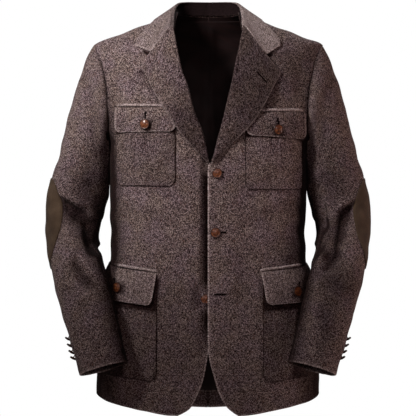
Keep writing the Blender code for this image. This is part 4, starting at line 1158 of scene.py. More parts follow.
def lapel_grid(side, share, row):
    """Rows leave the roll line, follow the front and end at the lapel's edge."""
    roll_z = lapel_end(side, "roll_height", row)
    roll_x = column(EDGES[side], EDGE_COLUMNS, "x", roll_z)
    end_x, end_z = lapel_end(side, "edge_x", row), lapel_end(side, "edge_height", row)
    x = roll_x[:, None] + (end_x - roll_x)[:, None] * share
    z = roll_z[:, None] + (end_z - roll_z)[:, None] * share
    top = notch_row(side, share, (end_x[-1], end_z[-1]), -GORGE_GAP)
    pull = ramp(row, 0.70, 1.0)[:, None]
    x += pull * (top[:, 0] - x[-1])
    z += pull * (top[:, 1] - z[-1])
    over_flap = ramp(row, 0.15, 0.35) * (1 - ramp(row, 0.72, 0.95))
    edge_out = REST + 0.0016 + 0.0066 * over_flap
    out = ROLL_STAND + (edge_out[:, None] - ROLL_STAND) * share ** 1.5
    out = out + LAPEL_BELLY * np.sin(np.pi * share) * ramp(row, 0.0, 0.3)[:, None]
    angle = front_angle(x, z)
    lap = front_relief(side, angle, z) * (1 - ramp(row, 0.05, 0.25))[:, None]
    return angle, z, out + np.maximum(lap, 0) + WALL


LAPEL_ROWS, LAPEL_WALL = 110, WALL * 0.8
PICK_INSET, PICK_PITCH = 0.0036, 0.0045      # pick stitches: from the edge, and apart

# Shade of the lapels, which turn away from the light: row and how much.
LAPEL_SHADE = {"left": ((0.0, 0.50), (0.3, 0.57), (0.6, 0.68), (1.0, 0.56)),
               "right": ((0.0, 0.70), (0.35, 0.64), (0.6, 0.22), (1.0, 0.0))}


def lapel(side):
    """The front's facing where it turns back: a soft roll, then the lapel's face."""
    share = np.concatenate((steps(0, NOTCH_AT, 30), np.linspace(NOTCH_AT, 1.0, 22)))
    row = np.linspace(0, 1, LAPEL_ROWS)
    angle, z, out = lapel_grid(side, share, row)
    outer = skin(angle, z, out)
    nose = skin(angle[:, 0], z[:, 0], out[:, 0] - ROLL_RADIUS)
    above = unit(outer[:, 0] - nose)
    inward = unit(outer[:, 0] - outer[:, 1])
    bends = np.radians(np.linspace(185, 15, 10))
    roll = [nose + ROLL_RADIUS * (np.cos(b) * above + np.sin(b) * inward) for b in bends]
    grid = np.concatenate((np.stack(roll, axis=1), outer), axis=1)
    along = run_lengths(grid, 0)
    uv = np.stack((run_lengths(grid, 1), -along[:, -1:] * np.ones(grid.shape[1])), -1)
    shade = smooth(row, *np.array(LAPEL_SHADE[side]).T)[:, None] * np.ones(grid.shape[1])
    # The pale edge, wear of the nap with a painted highlight, fades up the right lapel.
    edge_wear_and_highlight = 1.0 if side == "left" else (1 - 0.8 * ramp(row, 0.5, 0.8))[:, None]
    piece = cloth("lapel_facing_" + side, mirrored(side, grid), LAPEL_WALL, ("tweed",),
                  -mirror_sign(side), uv, sides="rb", edge_width=0.0020, edge_most=edge_wear_and_highlight,
                  masks={"painted_shade": shade})
    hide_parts("lapel_" + side)
    edge_stitches(side)


def edge_stitches(side):
    """Pick stitches just inside the lapel's edge and down the front's edge."""
    row = np.concatenate((np.linspace(0.10, 0.99, 90), [1.0]))
    width = np.hypot(lapel_end(side, "edge_x", row) - 0.045, 0.05) * ramp(row, -0.05, 0.6) + 0.012
    angle, z, out = (a.diagonal() for a in lapel_grid(side, 1 - PICK_INSET / width, row))
    line = skin(angle, z, out + 0.0001)
    runs = [stitch_run(side, line, skin(angle, z, out + ABOVE))]
    rows = np.linspace(BREAK - 0.01, HEM + 0.012, 160)
    inset = np.array([PICK_INSET / 0.30])
    line = front_grid(side, rows, inset, 0.0001)[0][:, 0]
    above = front_grid(side, rows, inset, ABOVE)[0][:, 0]
    runs.append(stitch_run(side, line, above))
    stitches("pick_stitches_" + side, runs, "dark_thread", length=0.0015, radius=0.00035,
             pitch=PICK_PITCH)


STAND_COLUMNS = 8
BAND_COLUMNS = STAND_COLUMNS + 4     # the stand and the roll's inside show the neck band
COLLAR_STATIONS = 64
EDGE_OUT = REST + WALL + 0.001       # the collar's edge stands this far off the skin
COLLAR_PALE, COLLAR_PALER = 0.30, 0.36       # painted light: how much paler the collar is painted, over all and more towards the left
COLLAR_SHADE, COLLAR_SHADE_WIDTH = 0.95, 0.006       # where the stand is sewn on


def collar_at(name, station):
    """One named column of the collar's table at a station."""
    return column(COLLAR, COLLAR_COLUMNS, name, station)


def collar_half(side, stations, share):
    """Sections of the left half of the collar, from centre back to the gorge."""
    station = np.linspace(0, 1, stations)
    fold = np.stack([collar_at("fold_" + a, station) for a in "xyz"], -1)
    seam = np.stack([collar_at("seam_" + a, station) for a in "xyz"], -1)
    edge_angle = np.radians(collar_at("edge_angle", station))
    edge = skin(edge_angle, collar_at("edge_z", station), EDGE_OUT)
    tangent = unit(np.gradient(fold, axis=0))
    tangent[0] = (1, 0, 0)
    fall = edge - fold
    fall = unit(fall - (fall * tangent).sum(-1, keepdims=True) * tangent)
    out = unit(np.cross(fall, tangent))
    out *= np.sign((out * (edge * (1, 1, 0) + (0, 0, 0.2))).sum(-1, keepdims=True))
    bends = np.radians(np.linspace(-90, 90, 12))
    arc = [fold + ROLL_RADIUS * (np.sin(b) * out - np.cos(b) * fall) for b in bends]
    stand = [seam + t * (arc[0] - seam) for t in steps(0, 1, STAND_COLUMNS)]
    start = arc[-1]
    swell = LEAF_SWELL * np.sin(np.pi * share)
    leaf = start[:, None] + (edge - start)[:, None] * share[:, None] + out[:, None] * swell[:, None]
    front = notch_row(side, share, (edge[-1, 0], edge[-1, 2]), GORGE_GAP)
    stand_off = EDGE_OUT + (ROLL_STAND - 0.001) * (1 - share) ** 1.5
    target = skin(front_angle(front[:, 0], front[:, 1]), front[:, 1], stand_off)
    target[-1] = edge[-1]
    pull = ramp(station, 0.62, 1.0)[:, None, None]
    leaf = clear_of_body(leaf + pull * (target - leaf[-1]), EDGE_OUT)
    return np.concatenate((np.stack(stand + arc, axis=1), leaf), axis=1)


def clear_of_body(points, least):
    """Points moved out along the skin's normal until they stand off enough."""
    angle = np.arctan2(points[..., 0], -points[..., 1])
    z = np.minimum(points[..., 2], NAPE)
    foot = skin_at(angle, z)
    normal = skin(angle, z, 1.0) - foot
    height = ((points - foot) * normal).sum(-1, keepdims=True)
    return points + normal * np.maximum(least - height, 0)


def collar():
    """Stand, roll and leaf in one sheet, across both halves."""
    share = np.concatenate((steps(0.04, NOTCH_AT, 18), np.linspace(NOTCH_AT, 1.0, 16)))
    left = collar_half("left", COLLAR_STATIONS, share)
    right = collar_half("right", COLLAR_STATIONS, share) * (-1, 1, 1)
    grid = np.concatenate((right[:0:-1], left), axis=0)
    grid[COLLAR_STATIONS - 1, :, 0] = 0
    along = run_lengths(grid, 0)
    uv = np.stack((along[:, -1:] * np.ones(grid.shape[1]), run_lengths(grid, 1)), -1)
    inside = np.zeros(np.array(grid.shape[:2]) - 1, np.int32)
    inside[:, :BAND_COLUMNS] = 1
    # Painted light over the collar, paler towards the left; painted shade where the stand is sewn on.
    lighter = COLLAR_PALE + COLLAR_PALER * ramp(grid[..., 0], -0.02, 0.08)
    seam = COLLAR_SHADE * bell(run_lengths(grid, 1), COLLAR_SHADE_WIDTH)
    piece = cloth("collar_cloth", grid, LAPEL_WALL, ("tweed", "neck_band"), 1.0, uv, sides="rtb",
                  edge_width=0.0016, edge_least=lighter, outer_look=inside,
                  masks={"painted_shade": seam})
    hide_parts("collar")


# ---- sleeves

def arm(name, station):
    """One named column of the sleeve's rings at a station."""
    return column(SLEEVE, SLEEVE_COLUMNS, name, station)


def sleeve_ring(angle, station):
    """Point on the ring at a station: 0 is outwards, 90 degrees in front."""
    low, high = np.clip(station - BEND, 0, 1), np.clip(station + BEND, 0, 1)
    centre = np.stack([arm(a, station) for a in "xyz"], -1)
    along = unit(np.stack([arm(a, high) - arm(a, low) for a in "xyz"], -1))
    level = CUFF_TILT * ramp(station, 0.75, 1.0)[..., None] * np.array((0, 1, 0))
    along = unit(along * (1 - level))
    outwards = unit(np.array((1.0, 0, 0)) - along * along[..., :1])
    forwards = np.cross(along, outwards)
    forwards *= np.sign(-forwards[..., 1:2])
    return (centre + outwards * (arm("half_width", station) * np.cos(angle))[..., None]
            + forwards * (arm("half_depth", station) * np.sin(angle))[..., None]), along


def armhole_loop(angle):
    """Point of the armhole that the sleeve's angle is sewn to."""
    turn = np.mod(angle, 2 * np.pi)
    top, foot = SHOULDER_TIP + 0.0003, ARMHOLE_FOOT + 0.0030
    share = (1 - np.cos(turn)) / 2
    z = top + (foot - top) * share ** 0.92
    x = armhole_x(z)
    at_front = np.where(turn < np.pi, front_angle(x, z), back_angle(x, z))
    head = np.maximum(np.cos(turn), 0)[..., None] ** 4
    return skin_at(at_front, z) + (ARMHOLE_SEAM, 0, 0) + head * SLEEVE_HEAD


def sleeve_at(angle, station):
    """Sleeve skin: stations below 0 are the cap, a cubic from armhole to first ring."""
    angle, station = np.broadcast_arrays(angle, station)
    ring, along = sleeve_ring(angle, np.maximum(station, 0))
    start = armhole_loop(angle)
    t = np.clip(1 + station / CAP_LENGTH, 0, 1)[..., None]
    outside = np.cos(angle)
    leave = np.stack((CAP_LEAVE[0] + CAP_LEAVE_OUTSIDE[0] * outside,
                      -CAP_LEAVE[1] * np.sin(angle),
                      -CAP_LEAVE[2] - CAP_LEAVE_OUTSIDE[2] * outside), -1)
    inner, outer = CAP_ARRIVE
    arrive = along * (inner + (outer - inner) * (outside + 1) / 2)[..., None]
    cap = (start * (1 + 2 * t) * (1 - t) ** 2 + ring * t * t * (3 - 2 * t)
           + leave * t * (1 - t) ** 2 - arrive * t * t * (1 - t))
    return np.where(t < 1, cap, ring)


def beside_body(points):
    """Sleeve points below the armhole, kept outside the body's side.

    The x of the side comes from the ring's superellipse; the greater of it and
    the sleeve's own x is taken softly, as half of sum and root of squares.
    """
    x, y, z = points[..., 0], points[..., 1], points[..., 2]
    n = body("squareness", z)
    depth = np.where(y < 0, body("front", z), body("back", z))
    side_x = body("half_width", z) * (1 - np.clip(np.abs(y) / depth, 0, 1) ** n) ** (1 / n)
    over = x - (side_x + SLEEVE_REST)
    pressed = x + (np.sqrt(over ** 2 + SIDE_SOFTNESS ** 2) - over) / 2
    drawn_in = ramp(z, -0.305, -0.280) * (1 - ramp(z, -0.256, -0.248)) * (1 - ramp(over, 0.004, 0.010))
    below = 1 - ramp(z, ARMHOLE_FOOT - 0.010, ARMHOLE_FOOT + 0.010)
    return np.stack((x + below * (pressed - x) - 0.9 * drawn_in * np.maximum(over, 0), y, z), axis=-1)


def sleeve_skin(side, angle, station, out=0.0):
    """The sleeve's skin with its creases, moved out along its normal."""
    angle, station = np.broadcast_arrays(np.asarray(angle, float), np.asarray(station, float))
    small = 2e-3
    low, high = np.clip(station - small, -CAP_LENGTH, 1), np.clip(station + small, -CAP_LENGTH, 1)
    round_it = sleeve_at(angle + small, station) - sleeve_at(angle - small, station)
    down = sleeve_at(angle, high) - sleeve_at(angle, low)
    normal = unit(np.cross(round_it, down))
    normal *= np.sign((normal[..., :1] * np.cos(angle)[..., None]
                       - normal[..., 1:2] * np.sin(angle)[..., None]) + 1e-9)
    place = sleeve_at(angle, station)
    x, z = place[..., 0], place[..., 2]
    relief = sleeve_folds(side, angle, station, x, z)
    relief += uneven(angle * SLEEVE_GIRTH, z, 2.0 if side == "left" else 5.0)
    relief *= ramp(station, -CAP_LENGTH, -CAP_LENGTH + 0.12)
    moved = place + normal * (relief + out)[..., None]
    return beside_body(moved)


def sleeve_folds(side, angle, station, x, z):
    """Height of a sleeve's creases, which the stiff elbow patch holds flat."""
    in_front = ramp(np.sin(angle), -0.35, 0.25)
    relief = (creases(SLEEVE_CREASES[side], x, z) * in_front
              + creases(SLEEVE_BACK_CREASES, x, z) * (1 - in_front))
    off = np.mod(np.degrees(angle) - PATCH_CENTRE + 180, 360) - 180
    from_patch = np.hypot(off / PATCH_SPREAD, (station - PATCH_MIDDLE) / PATCH_REACH)
    return relief * (0.12 + 0.88 * ramp(from_patch, 0.94, 1.12))


CAP_ROWS = 44
SLEEVE_ROWS = np.concatenate((
    np.linspace(-CAP_LENGTH * (1 - CAP_GAP), -0.02, CAP_ROWS), steps(0, 0.10, 12),
    steps(0.10, 0.64, 116), np.linspace(0.64, 1.0, 52)))


FOLD_SHADE, FOLD_DEEPEST = 0.88, 0.010       # how dark the painted shade of a fold is at its deepest, and that depth
INNER_SHADE = 0.88       # of the arm's inner side
CROOK_COLUMNS = ("x", "z", "reach_x", "reach_z", "depth")
CROOKS = {               # shade in the crook of each arm, in the front view
    "right": ((0.22, -0.428, 0.02, 0.046, 0.9), (0.238, -0.342, 0.034, 0.05, 0.62)),
    "left": ((0.246, -0.53, 0.042, 0.046, 0.74), (0.232, -0.43, 0.022, 0.05, 0.74),
             (0.23, -0.48, 0.018, 0.024, 0.97), (0.236, -0.335, 0.04, 0.062, 0.68),
             (0.228, -0.53, 0.028, 0.045, 0.66), (0.225, -0.59, 0.024, 0.07, 0.6)),
}


def crook_shade(side, grid):
    """Soft shade in the crook of an arm: a bell in x and z for each row."""
    spots = (dict(zip(CROOK_COLUMNS, row)) for row in CROOKS[side])
    return np.max([at["depth"] * bell(grid[..., 0] - at["x"], at["reach_x"])
                   * bell(grid[..., 2] - at["z"], at["reach_z"]) for at in spots], axis=0)


def seam_gap(at, rows):
    """Angle that takes up a seam's gap on each row: the gap over the radius there."""
    step = 0.01
    ends = sleeve_at(at + np.array((-step, step)), rows)
    apart = np.linalg.norm(np.diff(ends, axis=1), axis=-1)
    return PANEL_GAP * 2 * step / np.maximum(apart, 0.0006)


TURNED_IN, CAP_TURNED_IN = 3, 5      # rows of tweed on the inside, at cuff and armhole


def sleeve_piece(kind, side, span, columns):
    """Top or under sleeve from the armhole to the cuff, its weave laid by walked lengths."""
    rows = SLEEVE_ROWS[:, None]
    start, end = np.radians(span)
    share = np.linspace(0, 1, columns)
    angle = (start + seam_gap(start, rows)) * (1 - share) + (end - seam_gap(end, rows)) * share
    grid = sleeve_skin(side, angle, rows)
    along = run_lengths(grid, 0)
    along = along - along[CAP_ROWS]
    along[CAP_ROWS:] = along[CAP_ROWS:, columns // 2][:, None]
    across = run_lengths(grid, 1)
    across = across - across[:, [int(np.argmin(np.abs(angle[-1])))]]
    uv = np.stack((across, -along), -1)
    inside = np.ones((len(SLEEVE_ROWS) - 1, columns - 1), np.int32)
    inside[-TURNED_IN:] = 0
    inside[:CAP_TURNED_IN] = 0
    folds = sleeve_folds(side, angle, rows, grid[..., 0], grid[..., 2])
    degrees = np.degrees(angle)
    inner = ramp(degrees, 92, 165) * (1 - ramp(degrees, 235, 290)) * ramp(rows, -0.34, -0.10)
    # Painted shade: in the folds, on the arm's inner side, in its crook and along the armhole seam,
    # and on the inner half as it turns from view.
    masks = {"side": np.broadcast_to(ramp(-np.cos(angle), -0.2, 0.5), grid.shape[:2]),
             "painted_shade": np.maximum.reduce([
                 np.clip(-folds / FOLD_DEEPEST, 0, 1) ** 1.2 * FOLD_SHADE, INNER_SHADE * inner,
                 crook_shade(side, grid) * ramp(np.sin(angle), -0.1, 0.3),
                 seam_shade(run_lengths(grid, 0), grid[..., 2])])}
    piece = cloth(kind + "_cloth_" + side, mirrored(side, grid), WALL, ("tweed", "lining"),
                  -mirror_sign(side), uv, inner_look=inside, sides="b", masks=masks)
    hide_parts(kind + "_" + side)


PATCH_REST, PATCH_DOME = 0.0008, 0.0006      # off the sleeve, and how far it swells
PATCH_SEAM = 0.95        # share of its size at which the patch is stitched down


def elbow_patch(side):
    """Oval of suede: rings from its middle out, on the sleeve's skin."""
    around, rings = 96, 26
    turn = steps(0, 2 * np.pi, around)
    sizes = np.linspace(0.02, 1.0, rings)[:, None]
    angle = np.radians(PATCH_CENTRE + PATCH_SPREAD * np.cos(turn) * sizes)
    station = PATCH_MIDDLE + PATCH_REACH * np.sin(turn) * sizes
    face = PATCH_REST + POCKET_WALL * 0.6
    dome = PATCH_DOME * (1 - sizes ** 6)
    top = sleeve_skin(side, angle, station, face + dome)
    edge = sleeve_skin(side, np.radians(PATCH_CENTRE + (PATCH_SPREAD + 0.8) * np.cos(turn)),
                       PATCH_MIDDLE + PATCH_REACH * 1.012 * np.sin(turn),
                       PATCH_REST + POCKET_WALL * 0.3)
    bottom = sleeve_skin(side, angle, station, PATCH_REST)
    rows = np.concatenate((top, edge[None], bottom[::-1]), axis=0)
    index = np.arange(rows.shape[0] * around).reshape(-1, around)
    after = np.roll(index, -1, axis=1)
    quads = np.stack((index[:-1], index[1:], after[1:], after[:-1]), -1).reshape(-1, 4)
    points = mirrored(side, rows).reshape(-1, 3)
    quads, fans = outward(points, quads, [index[0], index[-1][::-1]])
    uv = np.stack((points[:, 1], points[:, 2]), -1)
    mask = np.concatenate((np.repeat(sizes.ravel(), around), np.ones(around),
                           np.repeat(sizes.ravel()[::-1], around)))
    piece = make_piece("elbow_suede_" + side, points, quads, ("suede",), uv,
                       {"edge": np.clip((mask - 0.9) * 10, 0, 1)}, fans=fans)
    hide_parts("elbow_patch_" + side)
    line_angle = np.radians(PATCH_CENTRE + PATCH_SPREAD * PATCH_SEAM * np.cos(turn))
    line_station = PATCH_MIDDLE + PATCH_REACH * PATCH_SEAM * np.sin(turn)
    line = sleeve_skin(side, line_angle, line_station, face)
    above = sleeve_skin(side, line_angle, line_station, PATCH_REST + ABOVE)
    stitches("elbow_stitches_" + side, [stitch_run(side, line, above)], "suede_thread")


def cuff_lining(side):
    """Short tube of lining inside the cuff."""
    angle = steps(0, 2 * np.pi, 64)
    rows = np.linspace(0.79, 0.985, 24)[:, None]
    grid = sleeve_skin(side, angle, rows, -LINING_OFF)
    piece = cloth("lining_of_cuff_" + side, mirrored(side, grid), LINING_WALL, ("lining",),
                  -mirror_sign(side), closed=True)
    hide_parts("cuff_lining_" + side)


# ---- buttons

BUTTON_SECTION = (       # shares of the radius, and heights above the shank
    (0.16, 0.0), (0.6, 0.0001), (0.9, 0.0005), (0.985, 0.0012), (1.0, 0.002),
    (0.975, 0.0029), (0.91, 0.0034), (0.84, 0.0033), (0.77, 0.0028), (0.7, 0.0027),
    (0.6, 0.0032), (0.45, 0.0038), (0.28, 0.0042), (0.12, 0.0044))


def button_profile(radius, shank):
    """Half section of a button: shank, back, rim, groove and low dome."""
    section = np.array(BUTTON_SECTION) * (radius, 1) + (0, shank)
    return np.concatenate(([(section[0, 0], 0.0)], section))


def sew_button(name, low, high, radius, shank):
    """A button with its foot at the low point, standing towards the high one."""
    piece = turned("sewn_" + name, low, high - low, button_profile(radius, shank), "button")
    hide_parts(name)


def button_on_front(name, side, x, z, base, radius):
    """A button sewn on the cloth at its place in the front view."""
    low, high = (mirrored(side, on_front(side, np.array(x), np.array(z), out))
                 for out in (base, base + ABOVE))
    sew_button(name, low, high, radius, FRONT_SHANK)


def cuff_buttons(side):
    """Four at the back of each cuff, each leaning over the next one."""
    angle = np.radians(CUFF_BUTTON_ANGLE)
    tilt = np.radians(CUFF_BUTTON_TILT)
    for number, station in enumerate(CUFF_BUTTON_STATIONS, start=1):
        low = sleeve_skin(side, angle, station, CUFF_FOOT)
        outwards = sleeve_skin(side, angle, station, CUFF_FOOT + 1.0) - low
        to_cuff = unit(sleeve_skin(side, angle, station + 0.01) - sleeve_skin(side, angle, station))
        high = low + outwards * np.cos(tilt) + to_cuff * np.sin(tilt)
        sew_button("cuff_button_%s_%d" % (side, number), mirrored(side, low),
                   mirrored(side, high), CUFF_BUTTON, CUFF_SHANK)


def patch_share(row, rear_is_angle, x, z):
    """Shares across and down a patch at a place in the front view."""
    start = front_angle(row["front_x"] + row["slant"] * 0.4, z)
    end = np.radians(row["rear"]) if rear_is_angle else front_angle(row["rear"], z)
    across = (front_angle(x, z) - start) / (end - start)
    top, low = patch_edges(row, across)
    return across, (z - top) / (low - top)


def hole_surface(kind, side, x, z, out):
    """Point of the cloth a buttonhole is worked in: front, lapel or flap."""
    if kind == "front":
        return on_front(side, x, z, out)
    if kind == "lapel":
        row = np.array([LAPEL_HOLE_ROW, 1.0])
        angle, height, face = (a[0] for a in lapel_grid(side, x, row))
        return skin(angle, height + z, face + out)
    chest = kind == "chest"
    row = (CHEST_FLAPS if chest else LOWER_FLAPS)[side]
    across, down = patch_share(row, not chest, x, z)
    lie = dict(CHEST_FLAP_LIE if chest else LOWER_FLAP_LIE)
    lie["base"] += POCKET_WALL + out
    return patch_surface(side, row, not chest, across, down, **lie)


HOLE_HALF = 0.0009       # from a buttonhole's slit to the middle of its stitches
LAPEL_HOLE_ROW = 0.807   # the lapel's row that its buttonhole runs along
HOLE_COLUMNS = ("cloth", "side", "from_x", "from_z", "to_x", "to_z")
BUTTONHOLES = (
    ("front", "left", 0.0174, -0.316, 0.03, -0.316),
    ("front", "left", 0.0143, -0.4321, 0.0354, -0.4321),
    ("front", "left", 0.0116, -0.5524, 0.0354, -0.5524),
    ("lapel", "left", 0.54, 0.0, 0.83, 0.0),
    ("chest", "left", 0.1314, -0.21, 0.134, -0.225),
    ("chest", "right", 0.1193, -0.1985, 0.1193, -0.215),
    ("lower", "left", 0.1696, -0.53, 0.168, -0.542),
    ("lower", "right", 0.1743, -0.5235, 0.172, -0.535),
)


def buttonholes():
    """Worked buttonholes: two rows of stitches across, to both sides of a slit.

    The lapel's runs along one of the lapel's rows: its x is a share from the
    roll line to the edge.
    """
    share = np.linspace(0, 1, 30)
    for side in ("left", "right"):
        runs = []
        for hole in (dict(zip(HOLE_COLUMNS, row)) for row in BUTTONHOLES if row[1] == side):
            run_x, run_z = hole["to_x"] - hole["from_x"], hole["to_z"] - hole["from_z"]
            x, z = hole["from_x"] + run_x * share, hole["from_z"] + run_z * share
            upright = abs(run_z) > abs(run_x)
            for way in (-HOLE_HALF, HOLE_HALF):
                place = (x + way, z) if upright else (x, z + way)
                line = hole_surface(hole["cloth"], side, *place, 0.0002)
                above = hole_surface(hole["cloth"], side, *place, ABOVE)
                runs.append(stitch_run(side, line, above))
        stitches("buttonholes_" + side, runs, "dark_thread", length=0.0022, radius=0.0004,
                 rise=0.0003, pitch=0.00065, crosswise=True)


def buttons():
    """All the buttons."""
    for row in FRONT_BUTTONS:
        button_on_front(*row)
    for side in ("left", "right"):
        cuff_buttons(side)


# ---- materials

def shader_node(tree, kind, inputs=None, **settings):
    """One node with its settings, and its inputs as values or links."""
    node = tree.nodes.new("ShaderNode" + kind)
    for key, value in settings.items():
        setattr(node, key, value)
    for key, value in (inputs or {}).items():
        if isinstance(value, bpy.types.NodeSocket):
            tree.links.new(value, node.inputs[key])
        else:
            node.inputs[key].default_value = value
    return node


def colour_ramp(tree, factor, stops):
    """A ramp from (place, colour) stops, fed by a factor."""
    node = shader_node(tree, "ValToRGB", {"Fac": factor})
    places = node.color_ramp.elements
    while len(places) < len(stops):
        places.new(0.5)
    for stop, (place, colour) in zip(places, stops):
        stop.position = place
        stop.color = (*colour, 1)
    return node.outputs["Color"]


def group(name, inputs, outputs, build):
    """A node group with named inputs and outputs, filled in by build()."""
    tree = bpy.data.node_groups.new(name, "ShaderNodeTree")
    for socket, kind in inputs:
        tree.interface.new_socket(socket, in_out="INPUT", socket_type="NodeSocket" + kind)
    for socket, kind in outputs:
        tree.interface.new_socket(socket, in_out="OUTPUT", socket_type="NodeSocket" + kind)
    source = tree.nodes.new("NodeGroupInput")
    target = tree.nodes.new("NodeGroupOutput")
    for socket, value in build(tree, source.outputs).items():
        tree.links.new(value, target.inputs[socket])
    return tree


def maths(tree, operation, *values):
    """The result of a Math node."""
    return shader_node(tree, "Math", dict(enumerate(values)), operation=operation).outputs[0]


def mix(tree, factor, first, second, blend="MIX"):
    """A mix of two colours; its sockets are 0, the factor, and 6 and 7, the colours."""
    return shader_node(tree, "Mix", {0: factor, 6: first, 7: second}, data_type="RGBA",
                       blend_type=blend).outputs[2]


def noise(tree, place, scale, **more):
    """The grey of a noise texture."""
    inputs = {"Vector": place, "Scale": scale, **more}
    return shader_node(tree, "TexNoise", inputs).outputs["Fac"]


def attribute(tree, name):
    """One of a piece's masks."""
    return shader_node(tree, "Attribute", attribute_name=name).outputs["Fac"]


def object_place(tree):
    """Place in metres, for textures."""
    return shader_node(tree, "TexCoord").outputs["Object"]


RIB = 0.0092             # width of one leg of the herringbone
FLECK_ACROSS, FLECK_ALONG = 640.0, 470.0     # flecks a metre, across and along the twill


def build_tweed(tree, given):
    """Herringbone of flecked yarns, with slow drifts of hue.

    The slant is the height plus a zigzag of the width; flecks are cells drawn
    out along it, each with a shade of its own, roughened by two noises.
    """
    apart = shader_node(tree, "SeparateXYZ", {0: given["Weave"]})
    leg = maths(tree, "PINGPONG", apart.outputs["X"], RIB)
    slant = maths(tree, "ADD", leg, apart.outputs["Y"])
    along = maths(tree, "SUBTRACT", leg, apart.outputs["Y"])
    number = maths(tree, "FLOOR", maths(tree, "DIVIDE", apart.outputs["X"], RIB))
    twill = shader_node(tree, "CombineXYZ", {0: maths(tree, "MULTIPLY", slant, FLECK_ACROSS),
                                             1: maths(tree, "MULTIPLY", along, FLECK_ALONG),
                                             2: maths(tree, "MULTIPLY", number, 5.3)})
    fleck = shader_node(tree, "TexVoronoi", {"Vector": twill.outputs[0], "Scale": 1.0})
    pick = shader_node(tree, "SeparateColor", {0: fleck.outputs["Color"]})
    slub = noise(tree, given["Weave"], 560.0, Detail=2.0, Roughness=0.7)
    drift = noise(tree, given["Weave"], 24.0, Detail=1.0)
    rough = maths(tree, "MULTIPLY", maths(tree, "SUBTRACT", slub, 0.5), 1.3)
    tone = maths(tree, "ADD", maths(tree, "MULTIPLY", pick.outputs[0], 0.9), rough)
    colour = colour_ramp(tree, tone, (
        (0.05, (0.008, 0.004, 0.004)), (0.25, (0.03, 0.019, 0.019)),
        (0.44, (0.084, 0.058, 0.058)), (0.66, (0.158, 0.118, 0.117)),
        (0.98, (0.360, 0.292, 0.290))))
    hue = colour_ramp(tree, drift, (
        (0.36, (1.02, 0.99, 0.91)), (0.52, (1.0, 0.97, 0.96)), (0.66, (0.99, 0.94, 1.0))))
    tinted = mix(tree, 1.0, colour, hue, "MULTIPLY")
    red = maths(tree, "GREATER_THAN", pick.outputs[1], 0.96)
    rust = mix(tree, maths(tree, "MULTIPLY", red, 0.5), tinted, (0.14, 0.055, 0.036, 1))
    # Paler colour for the edge mask: wear of the nap with a painted highlight at edges, and painted
    # light where a whole piece is raised.
    lighter = colour_ramp(tree, tone, (
        (0.05, (0.12, 0.086, 0.08)), (0.44, (0.28, 0.215, 0.205)), (0.9, (0.58, 0.48, 0.465))))
    pale = mix(tree, maths(tree, "MULTIPLY", given["Edge"], 0.75), rust, lighter)
    return {"Color": pale, "Height": tone}


def new_material(name, **constants):
    """A material whose plain values are set on the shader's own sockets."""
    material = bpy.data.materials.new(name)
    material.use_nodes = True
    shader = material.node_tree.nodes["Principled BSDF"]
    for socket, value in constants.items():
        shader.inputs[socket.replace("_", " ")].default_value = value
    return material, material.node_tree, shader


def dress(tree, shader, colour, height, distance):
    """A colour and a bump that many metres deep, fed to the shader."""
    bump = shader_node(tree, "Bump", {"Height": height, "Distance": distance, "Strength": 1.0})
    tree.links.new(colour, shader.inputs["Base Color"])
    tree.links.new(bump.outputs["Normal"], shader.inputs["Normal"])


def tweed():
    """The weave, with painted shade: darker where a piece's shade mask is set, and where its side mask
    is set as the cloth turns edge-on to the view.
    """
    material, tree, shader = new_material("tweed", Roughness=0.95, Sheen_Weight=0.015,
                                          Sheen_Roughness=0.5, Specular_IOR_Level=0.03)
    place = shader_node(tree, "UVMap", uv_map="weave").outputs["UV"]
    weave = shader_node(tree, "Group", node_tree=group(
        "tweed weave", (("Weave", "Vector"), ("Edge", "Float")),
        (("Color", "Color"), ("Height", "Float")), build_tweed))
    tree.links.new(place, weave.inputs["Weave"])
    tree.links.new(attribute(tree, "edge"), weave.inputs["Edge"])
    # Painted shade on the sides: the side mask, weighted by how edge-on the cloth is to the view.
    facing = shader_node(tree, "LayerWeight", {"Blend": 0.5}).outputs["Facing"]
    turned_away = shader_node(tree, "MapRange", {"Value": facing, "From Min": 0.36,
                                                 "From Max": 0.60}, interpolation_type="SMOOTHSTEP")
    side = maths(tree, "MULTIPLY", attribute(tree, "side"), turned_away.outputs[0])
    shade = maths(tree, "MAXIMUM", side, attribute(tree, "painted_shade"))
    # The colour of the deepest painted shade, which the weave is multiplied by.
    deep = mix(tree, shade, (1, 1, 1, 1), (0.10, 0.060, 0.056, 1))
    colour = mix(tree, 1.0, weave.outputs["Color"], deep, "MULTIPLY")
    dress(tree, shader, colour, weave.outputs["Height"], 0.0009)
    return material


def neck_band():
    """Near-black, finely mottled cloth inside the collar's stand and roll."""
    material, tree, shader = new_material("neck band", Roughness=0.95, Specular_IOR_Level=0.04)
    mottle = noise(tree, object_place(tree), 500.0, Detail=3.0)
    colour = colour_ramp(tree, mottle, ((0.35, (0.005, 0.0026, 0.0028)),
                                      (0.65, (0.012, 0.0066, 0.0070))))
    dress(tree, shader, colour, mottle, 0.0004)
    return material


def suede():
    """Brushed suede: a fine nap over slow, brushed patches."""
    material, tree, shader = new_material("suede", Roughness=0.92, Sheen_Weight=0.05,
                                          Sheen_Roughness=0.45, Specular_IOR_Level=0.2)
    nap = noise(tree, object_place(tree), 900.0, Detail=3.0)
    brushed = noise(tree, object_place(tree), 45.0, Detail=2.0)
    tone = maths(tree, "MULTIPLY_ADD", nap, 0.35, maths(tree, "MULTIPLY", brushed, 0.65))
    colour = colour_ramp(tree, tone, ((0.30, (0.026, 0.015, 0.009)), (0.52, (0.048, 0.029, 0.017)),
                                      (0.75, (0.075, 0.048, 0.030))))
    dress(tree, shader, colour, nap, 0.0005)
    return material


